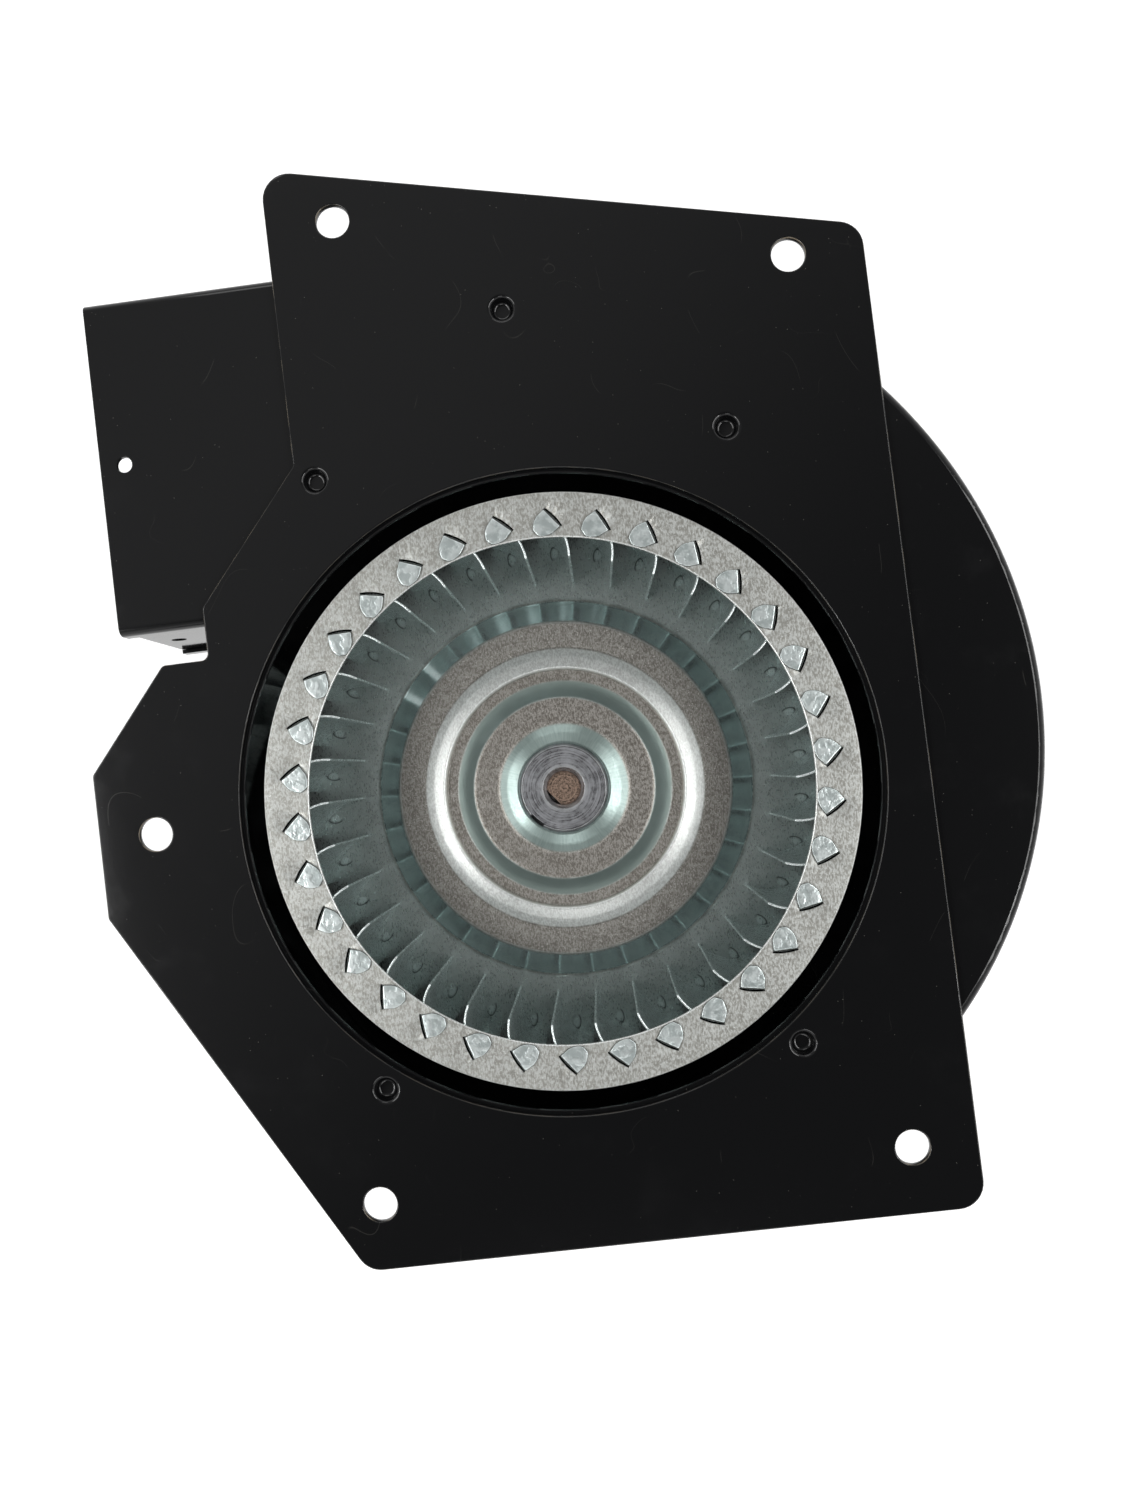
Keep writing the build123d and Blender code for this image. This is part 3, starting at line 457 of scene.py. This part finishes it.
def dish_zinc():
    """Back plate of the wheel: grainy on its flats, smooth and bluish where the sheet is drawn, darker inside
    the bead as painted shade, with lines of painted highlight at a bend and at the bead's crease.
    """
    s = finish("dish_zinc")
    place = s.place()
    radius, angle = around_axis(s, place)
    r = radius / MM
    grain, share = zinc_grain(s, place, (0.235, 0.22, 0.195), (0.43, 0.415, 0.385), (0.9, 0.88, 0.84))
    drawn = s.noise(s.combine(angle * 2.0, r * 0.2, 0.0), 0.5, 2.0)
    step, cone = s.band(r, *STEP_ZONE, 0.35), s.band(r, *CONE_ZONE, 0.4)
    cool = s.blend(drawn, (0.62, 0.76, 0.75), (0.78, 0.92, 0.91))
    cool = s.blend(cone, cool, s.blend(drawn, (0.3, 0.37, 0.35), (0.42, 0.5, 0.48)))
    slopes = step + cone
    # Painted shade: darker, browner flats inside the bead
    inner = s.between(r, *INNER_SHADE_FADE)
    grain = s.blend(inner * 0.5, grain, s.blend(share, (0.19, 0.17, 0.145), (0.36, 0.34, 0.31)))
    colour = s.blend(slopes, grain, cool)
    outer = s.between(r, *RIM_FADE)
    colour = s.blend(outer * 0.8, colour, s.blend(share, (0.56, 0.63, 0.62), (0.6, 0.67, 0.66)))
    bead = s.band(r, *BEAD_ZONE, 0.25)
    colour = s.blend(bead * 0.85, colour, s.blend(share, (0.74, 0.76, 0.74), (0.93, 0.96, 0.94)))
    collar = s.between(r, *COLLAR_FADE)
    brushed = s.noise(s.combine(angle * 30.0, r * 0.25, 0.0), 1.0, 3.0, 0.6)
    colour = s.blend(collar, colour, s.blend(brushed, (0.22, 0.28, 0.26), (0.4, 0.49, 0.47)))
    # Painted highlight lines along a bend and along the bead's crease
    highlight_lines = s.line(r, BEND_HIGHLIGHT, 0.35) * 0.4 + s.line(r, CREASE_HIGHLIGHT, 0.3) * 0.7
    colour = s.blend(highlight_lines, colour, PAINTED_HIGHLIGHT_ZINC)
    smooth = slopes + collar
    # Stake marks: painted shade along one side of each outline and a painted highlight on the patch inside
    mark, patch = stake_marks(s, radius, angle)
    colour = s.blend(mark * 0.85, colour, (0.02, 0.025, 0.025))
    colour = s.blend(patch * 0.7, colour, (0.8, 0.88, 0.87))
    roughness = 0.4 + share * 0.08 - step * 0.26 - cone * 0.08 - collar * 0.12
    roughness = roughness - bead * 0.08 - outer * 0.13
    grit = share * (1 - smooth) * (1 - outer)
    normal = s.bump(grit + patch * 0.5 - mark * 0.5, 0.18, 0.05 * MM)
    return s.surface(Base_Color=colour, Roughness=roughness, Metallic=0.8, Normal=normal)


def stake_marks(s, radius, angle):
    """Outlines that the rear tabs press through the back plate, one by each blade: a dark line along one side
    of each outline as painted shade, and a light patch inside as painted highlight.
    """
    start, end = blade_point(TAB_INNER), blade_point(TAB_OUTER)
    run = (end - start).normalized()
    centre = (start + end) / 2 + Vector((-run.y, run.x, 0)) * STAKE_OFFSET
    half_pitch = math.pi / BLADE_COUNT
    off_mark = angle - math.atan2(centre.y, centre.x)
    turn = s.node("Math", {"operation": "WRAP"}, [off_mark, half_pitch, -half_pitch])
    half_width, half_length = STAKE_SIZE
    across = turn * radius / (half_width * MM)
    along = (radius - centre.length * MM) / (half_length * MM)
    nose = s.between(across, -1.2, 1.0, 0.75, 1.25)
    along = along / nose
    off = (across * across + along * along) ** 0.5
    hook = s.between(across + along, -0.9, 0.3)
    return s.line(off, 1.0, 0.22) * hook, s.between(off, 0.85, 0.45)


def hub_steel():
    """Turned steel hub: round tool marks, a raised lip at the bore, a scribed line by the edge, a painted
    highlight on the edge and painted shade in the notch.
    """
    s = finish("hub_steel")
    place = s.place()
    radius, angle = around_axis(s, place)
    r = radius / MM
    wobble = s.noise(s.combine(angle, r * 0.6, 0.0), 0.9, 3.0)
    grooves = s.noise(s.combine(r * 2.2 + wobble * 0.3, 0.0, 0.0), 1.0, 4.0, 0.8)
    arcs = s.noise(s.combine(r * 1.6, angle * 0.8, 0.0), 0.6, 3.0, 0.7)
    stain = s.noise(place, 1.8 * MM, 5.0, 0.65)
    share = s.between(grooves * 0.45 + arcs * 0.3 + stain * 0.25, 0.42, 0.56)
    colour = s.blend(share, (0.29, 0.29, 0.305), (0.6, 0.61, 0.64))
    lip = s.band(r, *HUB_LIP, 0.15)
    scribe = s.line(r, HUB_SCRIBE, 0.16)
    colour = s.blend(lip * 0.45, colour, (0.85, 0.87, 0.88))
    colour = s.blend(scribe * 0.8, colour, (0.03, 0.03, 0.03))
    # Painted highlight along the outer edge
    colour = s.blend(s.line(r, HUB_EDGE_HIGHLIGHT, 0.18) * 0.8, colour, (0.9, 0.92, 0.92))
    # Painted shade: the notch's depth painted near black
    notch = s.band(angle, *HUB_NOTCH_SHADE_ANGLES, 0.03) * s.between(r, *HUB_NOTCH_SHADE_FADE)
    colour = s.blend(notch * 0.95, colour, (0.004, 0.004, 0.004))
    normal = s.bump(grooves * 0.8 - scribe + lip * 0.6, 0.5, 0.05 * MM, soft_edges(s, 0.12 * MM))
    return s.surface(Base_Color=colour, Roughness=0.26 + share * 0.1, Metallic=0.9, Normal=normal)


def shaft_steel():
    """Ground shaft, brown and rough on its sawn end."""
    s = finish("shaft_steel")
    place = s.place()
    radius, _ = around_axis(s, place)
    _, _, height = s.split(place)
    end = s.between((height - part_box("motor_shaft")[1].z) / MM, *SAWN_FADE)
    turned = s.noise(s.combine(radius / MM, 0.0, 0.0), 0.5, 2.0, 0.7)
    scuff = s.noise(place, 0.5 * MM, 4.0, 0.75)
    share = s.between(turned * 0.4 + scuff * 0.6, 0.38, 0.6)
    brown = s.blend(share, (0.05, 0.035, 0.027), (0.42, 0.3, 0.23))
    ground = s.blend(share, (0.5, 0.49, 0.48), (0.66, 0.65, 0.64))
    colour = s.blend(end, ground, brown)
    normal = s.bump(share, 0.3, 0.06 * MM, soft_edges(s, 0.12 * MM))
    return s.surface(Base_Color=colour, Roughness=0.25 + end * 0.2, Metallic=0.85, Normal=normal)


def plain_metal(name, colour, roughness, metallic=0.9, size=0.8):
    """Plated or cast metal with a faint mottle."""
    s = finish(name)
    place = s.place()
    mottle = s.noise(place, size * MM, 4.0, 0.6)
    tint = s.blend(s.between(mottle, 0.3, 0.7), [0.75 * c for c in colour], colour)
    normal = s.bump(mottle, 0.1, 0.05 * MM, soft_edges(s))
    rough = roughness + mottle * 0.12
    return s.surface(Base_Color=tint, Roughness=rough, Metallic=metallic, Normal=normal)


def lamination():
    """Edges of stacked steel sheets."""
    s = finish("lamination")
    place = s.place()
    _, _, height = s.split(place)
    layers = {"W": height, "Scale": 1 / (0.5 * MM), "Detail": 2.0}
    sheets = s.node("TexNoise", {"noise_dimensions": "1D"}, layers)
    rust = s.between(s.noise(place, 6 * MM, 5.0), 0.5, 0.75)
    colour = s.blend(s.between(sheets, 0.35, 0.65), (0.11, 0.11, 0.115), (0.3, 0.3, 0.31))
    colour = s.blend(rust * 0.3, colour, (0.14, 0.08, 0.05))
    normal = s.bump(sheets, 0.4, 0.1 * MM, soft_edges(s))
    return s.surface(Base_Color=colour, Roughness=0.5, Metallic=0.8, Normal=normal)


def copper_winding():
    """Varnished copper wire wound in layers."""
    s = finish("copper")
    place = s.place()
    _, _, height = s.split(place)
    settings = {"wave_type": "BANDS", "bands_direction": "DIAGONAL", "wave_profile": "SIN"}
    turns = s.node("TexWave", settings, {"Vector": place, "Scale": 1 / (3.0 * MM), "Distortion": 0.4})
    colour = s.blend(turns, (0.32, 0.1, 0.035), (0.72, 0.3, 0.13))
    normal = s.bump(turns, 0.6, 0.2 * MM, soft_edges(s, 0.6 * MM))
    return s.surface(Base_Color=colour, Roughness=0.3, Metallic=0.9, Normal=normal, Coat_Weight=0.4)


def moulded(name, colour, roughness, size=0.5):
    """Moulded plastic or rubber with a fine grain."""
    s = finish(name)
    place = s.place()
    grain = s.noise(place, size * MM, 3.0)
    cloud = s.noise(place, 12 * MM, 3.0)
    tint = s.blend(cloud, [0.8 * c for c in colour], [min(1.0, 1.15 * c) for c in colour])
    normal = s.bump(grain, 0.12, 0.05 * MM, soft_edges(s, 0.25 * MM))
    return s.surface(Base_Color=tint, Roughness=roughness + grain * 0.1, Normal=normal)


def felt():
    """Oiled felt, a mat of short fibres."""
    s = finish("felt")
    place = s.place()
    fibres = s.noise(place, 0.3 * MM, 6.0, 0.8)
    colour = s.blend(fibres, (0.3, 0.27, 0.2), (0.55, 0.5, 0.4))
    return s.surface(Base_Color=colour, Roughness=0.9, Normal=s.bump(fibres, 0.6, 0.2 * MM))


finishes = {
    "black_paint": black_paint(),
    "galvanised": galvanised(),
    "hub_steel": hub_steel(),
    "shaft_steel": shaft_steel(),
    "zinc_plate": plain_metal("zinc_plate", (0.55, 0.56, 0.55), 0.3),
    "bell_paint": moulded("bell_paint", (0.012, 0.012, 0.013), 0.3),
    "lamination": lamination(),
    "copper": copper_winding(),
    "bronze": plain_metal("bronze", (0.5, 0.31, 0.16), 0.35),
    "cast_aluminium": plain_metal("cast_aluminium", (0.6, 0.61, 0.62), 0.4),
    "nylon": moulded("nylon", (0.7, 0.67, 0.58), 0.4),
    "fan_plastic": moulded("fan_plastic", (0.02, 0.02, 0.022), 0.4),
    "rubber": moulded("rubber", (0.015, 0.015, 0.015), 0.6),
    "felt": felt(),
}
for part in frame["record"]["subparts"]:
    for slot in frame["nodes"][part["node"]].material_slots:
        slot.material = finishes[part["material_slot"]]


# Mesh helpers

def mm(*values):
    """Vector in metres from values in millimetres."""
    return Vector([value * MM for value in values])


def in_scene(name, data):
    """New object in the scene for a mesh, camera or lamp."""
    made = bpy.data.objects.new(name, data)
    bpy.context.scene.collection.objects.link(made)
    return made


def arc(bm, first, centre, angle, steps):
    """Draws an arc of edges in the XY plane from a vertex about a centre, and returns its last vertex."""
    made = bmesh.ops.spin(
        bm, geom=[first], cent=centre, axis=(0, 0, 1), angle=angle, steps=steps, use_duplicate=False
    )
    return [v for v in made["geom_last"] if isinstance(v, bmesh.types.BMVert)][0]


def bent_line(bm, points, closed, steps):
    """Line of edges in the XY plane through points given as x, y and corner radius, in millimetres."""
    ends = []
    count = len(points)
    for i, (x, y, radius) in enumerate(points):
        here = mm(x, y, 0)
        if radius == 0 or (not closed and i in (0, count - 1)):
            vert = bm.verts.new(here)
            ends.append((vert, vert))
            continue
        back = (mm(*points[i - 1][:2], 0) - here).normalized()
        ahead = (mm(*points[(i + 1) % count][:2], 0) - here).normalized()
        half = back.angle(ahead) / 2
        centre = here + (back + ahead).normalized() * (radius * MM / math.sin(half))
        start = bm.verts.new(here + back * (radius * MM / math.tan(half)))
        turn = math.copysign(math.pi - 2 * half, ahead.cross(back).z)
        ends.append((start, arc(bm, start, centre, turn, steps)))
    for i in range(count if closed else count - 1):
        bm.edges.new((ends[i][1], ends[(i + 1) % count][0]))


def circle(bm, x, y, radius, steps=HOLE_STEPS):
    """Circle of edges in the XY plane, in millimetres."""
    middle = Matrix.Translation(mm(x, y, 0))
    bmesh.ops.create_circle(bm, radius=radius * MM, segments=steps, matrix=middle)


def pressed_sheet(bm, top, bottom, edge, rounded=None):
    """Fills the closed loops of a bmesh to a flat sheet between two heights, and rounds its sharp edges.

    Where a test of their middle is given, only the edges that pass it are rounded.
    """
    bmesh.ops.triangle_fill(bm, use_beauty=True, use_dissolve=False, edges=bm.edges[:])
    bmesh.ops.recalc_face_normals(bm, faces=bm.faces[:])
    if bm.faces[0].normal.z < 0:
        bmesh.ops.reverse_faces(bm, faces=bm.faces[:])
    bmesh.ops.translate(bm, verts=bm.verts[:], vec=(0, 0, top))
    made = bmesh.ops.extrude_face_region(bm, geom=bm.faces[:])
    lower = [v for v in made["geom"] if isinstance(v, bmesh.types.BMVert)]
    bmesh.ops.translate(bm, verts=lower, vec=(0, 0, bottom - top))
    bmesh.ops.recalc_face_normals(bm, faces=bm.faces[:])
    rims = [e for e in bm.edges if e.is_manifold and e.calc_face_angle() > SHARP_TURN]
    if rounded:
        rims = [e for e in rims if rounded((e.verts[0].co + e.verts[1].co) / 2)]
    bmesh.ops.bevel(
        bm, geom=rims, offset=edge, offset_type="OFFSET", segments=3, profile=0.5, affect="EDGES",
        clamp_overlap=False, material=-1
    )


def revolved(bm, steps=TURN_STEPS):
    """Turns the edges of a bmesh from the XY plane about the shaft axis."""
    bmesh.ops.rotate(bm, verts=bm.verts[:], cent=(0, 0, 0), matrix=Matrix.Rotation(math.pi / 2, 3, "X"))
    bmesh.ops.spin(
        bm, geom=bm.verts[:] + bm.edges[:], cent=(0, 0, 0), axis=(0, 0, 1), angle=math.tau, steps=steps,
        use_merge=True
    )
    bmesh.ops.remove_doubles(bm, verts=bm.verts[:], dist=SEAM_GAP)
    bmesh.ops.recalc_face_normals(bm, faces=bm.faces[:])


def piece(bm, name, body, slot, surface, *nodes):
    """Finishes a bmesh as a piece that rides on a body and stands for CAD nodes."""
    mesh = bpy.data.meshes.new(name)
    bm.to_mesh(mesh)
    bm.free()
    mesh.shade_smooth()
    mesh.materials.append(surface)
    made = in_scene(name, mesh)
    normals = made.modifiers.new("even_normals", "WEIGHTED_NORMAL")
    normals.weight = 100
    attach(made, body)
    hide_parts(*nodes)
    return made


# Mounting plate

def near_clinch(co):
    """Whether a place on the plate belongs to a clinch."""
    return any((co.xy - mm(x, y)).length < CLINCH_REACH * MM for x, y in CLINCHES)


def clinch_skin(bm, x, y, top, wall, depth, bends):
    """One face of the cup that joins the plate to the sheet behind it, a wall away from its front."""
    mouth, base = bends
    radius, floor = CLINCH_RADIUS + wall, CLINCH_FLOOR + wall
    line = [(CLINCH_RIM, top, 0), (radius, top, mouth), (floor, top - depth, base), (0, top - depth, 0)]
    dome = bmesh.new()
    bent_line(dome, line, closed=False, steps=BEND_STEPS)
    revolved(dome, HOLE_STEPS)
    bmesh.ops.translate(dome, verts=dome.verts[:], vec=mm(x, y, 0))
    mesh = bpy.data.meshes.new("clinch")
    dome.to_mesh(mesh)
    dome.free()
    bm.from_mesh(mesh)
    bpy.data.meshes.remove(mesh)


def mounting_plate():
    """Eight-sided sheet with its notch, opening, fixing holes and clinches."""
    _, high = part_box("mounting_plate")
    thickness = PLATE_SHEET * MM
    bm = bmesh.new()
    bent_line(bm, PLATE_CORNERS, closed=True, steps=CORNER_STEPS)
    circle(bm, 0, 0, PLATE_OPENING, TURN_STEPS)
    for x, y in FIXING_HOLES:
        circle(bm, x, y, FIXING_RADIUS)
    for x, y in CLINCHES:
        circle(bm, x, y, CLINCH_RIM)
    pressed_sheet(bm, high.z, high.z - thickness, PLATE_EDGE * MM, lambda co: not near_clinch(co))
    walls = [f for f in bm.faces if abs(f.normal.z) < UPRIGHT and near_clinch(f.calc_center_median())]
    bmesh.ops.delete(bm, geom=walls, context="FACES_ONLY")
    top, bottom = high.z / MM, (high.z - thickness) / MM
    back_depth = CLINCH_DEPTH + CLINCH_WALL - PLATE_SHEET
    for x, y in CLINCHES:
        clinch_skin(bm, x, y, top, 0.0, CLINCH_DEPTH, CLINCH_FACE_BENDS)
        clinch_skin(bm, x, y, bottom, CLINCH_WALL, back_depth, CLINCH_BACK_BENDS)
    bmesh.ops.remove_doubles(bm, verts=bm.verts[:], dist=JOIN_GAP)
    bmesh.ops.recalc_face_normals(bm, faces=bm.faces[:])
    return piece(bm, "plate_sheet", "housing", "black_paint", finishes["black_paint"], "mounting_plate")


# Impeller

def slot_loop(bm, turn):
    """Outline of one blade slot, two arcs joined at their ends, with a gap behind the fold."""
    half = BLADE_SHEET / 2 + SLOT_MARGIN
    start, end = blade_angle(TAB_INNER - SLOT_MARGIN), blade_angle(TAB_OUTER + SLOT_MARGIN)
    rotation = Matrix.Rotation(turn, 3, "Z")
    centre = rotation @ BLADE_CENTRE * MM
    corners = []
    for offset in (half + SLOT_GAP, -half):
        first = bm.verts.new(rotation @ blade_point(TAB_INNER - SLOT_MARGIN, offset) * MM)
        corners.append((first, arc(bm, first, centre, end - start, CORNER_STEPS)))
    bm.edges.new((corners[0][0], corners[1][0]))
    bm.edges.new((corners[0][1], corners[1][1]))


def raise_edges(bm, edges, vec):
    """Extrudes a chain of edges and returns the new chain."""
    made = bmesh.ops.extrude_edge_only(bm, edges=edges)["geom"]
    bmesh.ops.translate(bm, verts=[v for v in made if isinstance(v, bmesh.types.BMVert)], vec=vec)
    return [e for e in made if isinstance(e, bmesh.types.BMEdge) and all(v in made for v in e.verts)]


def chain_verts(edges):
    return list({v for e in edges for v in e.verts})


def fold_tab(bm, chain, sheet_height, upward):
    """Carries the tab's edges through the slot, straightens them, folds them and narrows the tip."""
    start, end = blade_point(TAB_INNER) * MM, blade_point(TAB_OUTER) * MM
    run = (end - start).normalized()
    side = Vector((-run.y, run.x, 0))
    bend = FOLD_RADIUS * MM
    fold_height = sheet_height + upward * (BLADE_SHEET / 2 * MM - bend)
    here = chain_verts(chain)[0].co.z
    chain = raise_edges(bm, chain, (0, 0, fold_height - here))
    for vert in chain_verts(chain):
        vert.co = start + run * (vert.co - start).dot(run) + Vector((0, 0, fold_height))
    made = bmesh.ops.spin(
        bm, geom=chain, cent=start + side * bend + Vector((0, 0, fold_height)), axis=run,
        angle=-upward * math.pi / 2, steps=FOLD_STEPS, use_duplicate=False
    )
    chain = [e for e in made["geom_last"] if isinstance(e, bmesh.types.BMEdge)]
    reach, width = FOLD_RADIUS, TAB_WIDTH
    for next_reach, next_width in TAB_ROWS:
        chain = raise_edges(bm, chain, side * ((next_reach - reach) * MM))
        verts = chain_verts(chain)
        middle = sum((v.co for v in verts), Vector()) / len(verts)
        for vert in verts:
            vert.co = middle + (vert.co - middle) * (next_width / width)
        reach, width = next_reach, next_width


def blades():
    """All blades as one sheet without thickness, which gets its wall and its edges from modifiers."""
    ring_low, ring_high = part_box("impeller_end_ring")
    back_low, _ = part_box("impeller_back_plate")
    web_front = back_low.z + WHEEL_SHEET * MM
    bm = bmesh.new()
    vert = bm.verts.new(blade_point(BLADE_INNER) * MM + Vector((0, 0, web_front)))
    # Radii along a blade, each with the steps from it to the next
    stations = [(BLADE_INNER, 4), (TAB_INNER, 5), (TAB_OUTER, 1), (BLADE_OUTER, 0)]
    tab_edges = []
    for (radius, steps), (following, _) in zip(stations, stations[1:]):
        angle = blade_angle(following) - blade_angle(radius)
        before = set(bm.edges)
        vert = arc(bm, vert, BLADE_CENTRE * MM, angle, steps)
        if radius == TAB_INNER:
            tab_edges = [e for e in bm.edges if e not in before]
    foot = bm.edges[:]
    head = raise_edges(bm, foot, (0, 0, ring_low.z - web_front))
    lowest, highest = blade_angle(TAB_INNER), blade_angle(TAB_OUTER)

    def within_tab(edge):
        middle = (edge.verts[0].co + edge.verts[1].co) / 2 / MM - BLADE_CENTRE
        return (math.atan2(middle.y, middle.x) - lowest) % math.tau < highest - lowest

    fold_tab(bm, [e for e in head if within_tab(e)], ring_high.z, 1)
    fold_tab(bm, tab_edges, back_low.z, -1)
    bmesh.ops.recalc_face_normals(bm, faces=bm.faces[:])
    bmesh.ops.spin(
        bm, geom=bm.verts[:] + bm.edges[:] + bm.faces[:], cent=(0, 0, 0), axis=(0, 0, 1),
        angle=math.tau * (BLADE_COUNT - 1) / BLADE_COUNT, steps=BLADE_COUNT - 1, use_duplicate=True
    )
    made = piece(bm, "wheel_blades", "rotor", "galvanised", blade_zinc(), "impeller_blades")
    wall = made.modifiers.new("sheet", "SOLIDIFY")
    wall.thickness = BLADE_SHEET * MM
    wall.offset = 0
    wall.use_even_offset = True
    bevel = made.modifiers.new("edges", "BEVEL")
    bevel.width = BLADE_EDGE * MM
    bevel.segments = 2
    bevel.limit_method = "ANGLE"
    bevel.angle_limit = math.radians(50)
    # The even normals come last
    made.modifiers.move(0, 2)
    return made


def end_ring():
    """Flat ring at the mouth of the wheel, with a slot for each blade."""
    low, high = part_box("impeller_end_ring")
    bm = bmesh.new()
    circle(bm, 0, 0, high.x / MM, TURN_STEPS)
    circle(bm, 0, 0, RING_INNER, TURN_STEPS)
    for i in range(BLADE_COUNT):
        slot_loop(bm, math.tau * i / BLADE_COUNT)
    inner, outer = (RING_INNER + RING_EDGE_BAND) * MM, high.x - RING_EDGE_BAND * MM
    pressed_sheet(
        bm, high.z, low.z, RING_EDGE * MM, lambda co: co.xy.length < inner or co.xy.length > outer
    )
    return piece(bm, "wheel_ring", "rotor", "galvanised", ring_zinc(), "impeller_end_ring")


def back_plate():
    """Dished disc behind the blades, spun from its middle line."""
    low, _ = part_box("impeller_back_plate")
    base = low.z / MM + WHEEL_SHEET / 2
    bm = bmesh.new()
    bent_line(bm, [(r, base + h, bend) for r, h, bend in DISH_LINE], closed=False, steps=BEND_STEPS)
    revolved(bm)
    if any(face.normal.z < 0 for face in bm.faces):
        bmesh.ops.reverse_faces(bm, faces=bm.faces[:])
    bmesh.ops.translate(bm, verts=bm.verts[:], vec=(0, 0, WHEEL_SHEET / 2 * MM))
    bmesh.ops.solidify(bm, geom=bm.faces[:], thickness=WHEEL_SHEET * MM)
    bmesh.ops.recalc_face_normals(bm, faces=bm.faces[:])
    return piece(bm, "wheel_back", "rotor", "galvanised", dish_zinc(), "impeller_back_plate")


# Camera, light and floor

# Lens and sensor in millimetres, place in millimetres and turns in degrees
LENS = 25.2
SENSOR = 36
CAMERA_PLACE = (9.03, 3.78, 219.67)
CAMERA_TURNS = (("Z", -6.94), ("X", 0.93), ("Y", 2.10))

# Lamps: azimuth and elevation in degrees, width and height in metres, and power in watts
LAMP_DISTANCE = 0.9
LAMPS = {
    "left_box": (183, 48, 0.8, 0.28, 3.2),
    "right_box": (-3, 48, 0.8, 0.28, 3.4),
    "lower_box": (268, 50, 0.35, 0.2, 0.6),
    "upper_box": (95, 40, 0.5, 0.2, 0.6),
    "left_spot": (203, 50, 0.06, 0.06, 0.3),
    "right_spot": (-25, 50, 0.06, 0.06, 0.3),
}
FLOOR_SIZE = 6.0
FLOOR_COLOUR = (0.8, 0.8, 0.8, 1.0)
FLOOR_GLOW = 0.5


def camera():
    """Camera at the photograph's viewing angle."""
    data = bpy.data.cameras.new("camera")
    data.lens = LENS
    data.sensor_width = SENSOR
    made = in_scene("camera", data)
    place = Matrix.Translation(mm(*CAMERA_PLACE))
    for axis, degrees in CAMERA_TURNS:
        place = place @ Matrix.Rotation(math.radians(degrees), 4, axis)
    made.matrix_world = place
    data.clip_start = 0.01
    bpy.context.scene.camera = made


def softbox(name, azimuth, elevation, width, height, power):
    """Area lamp that looks at the wheel. Azimuth 0 is on the +X side, and 90 on the +Y side."""
    data = bpy.data.lights.new(name, "AREA")
    data.shape = "RECTANGLE"
    data.size = width
    data.size_y = height
    data.energy = power
    made = in_scene(name, data)
    a, e = math.radians(azimuth), math.radians(elevation)
    away = Vector((math.cos(a) * math.cos(e), math.sin(a) * math.cos(e), math.sin(e)))
    made.location = away * LAMP_DISTANCE
    made.rotation_mode = "QUATERNION"
    made.rotation_quaternion = away.to_track_quat("Z", "Y")


def floor():
    """Pale floor that also glows a little where the camera or a reflection sees it."""
    low, _ = cad_box
    mesh = bpy.data.meshes.new("floor")
    bm = bmesh.new()
    ground = Matrix.Translation((0, 0, low.z))
    bmesh.ops.create_grid(bm, x_segments=1, y_segments=1, size=FLOOR_SIZE, matrix=ground)
    bm.to_mesh(mesh)
    bm.free()
    made = in_scene("floor", mesh)
    s = finish("floor")
    rays = s.node("LightPath").socket.node.outputs
    kinds = ("Is Camera Ray", "Is Glossy Ray", "Is Transmission Ray")
    camera_ray, glossy_ray, through_ray = [Wire(s, rays[kind]) for kind in kinds]
    shows = s.node("Math", {"operation": "MINIMUM"}, [camera_ray + glossy_ray + through_ray, 1.0])
    board = s.node("BsdfDiffuse", values={"Color": FLOOR_COLOUR})
    glow = s.node("Emission", values={"Color": (1, 1, 1, 1), "Strength": FLOOR_GLOW})
    both = s.node("AddShader", values=[board, glow])
    s.node("OutputMaterial", values=[s.node("MixShader", values=[shows, board, both])])
    mesh.materials.append(s.owner)


def world():
    """Studio: bright at the horizon, dimmer up the walls, with a ceiling that fades from side to side."""
    made = bpy.data.worlds.new("studio")
    bpy.context.scene.world = made
    s = Finish(made)
    direction = s.node("TexCoord", output="Generated")
    right, far, up = s.split(direction)
    walls = s.between(up, 0.1, 0.75, 0.95, 0.3)
    ceiling = s.between(far - right, -0.3, 0.65, 0.05, 0.31)
    overhead = s.between(up, 0.74, 0.86)
    strength = walls * (1 - overhead) + overhead * ceiling
    light = s.node("Background", values={"Color": (1, 1, 1, 1), "Strength": strength})
    s.node("OutputWorld", values=[light])


mounting_plate()
end_ring()
blades()
back_plate()
camera()
world()
floor()
for lamp, values in LAMPS.items():
    softbox(lamp, *values)
bpy.context.scene.view_settings.view_transform = "Standard"
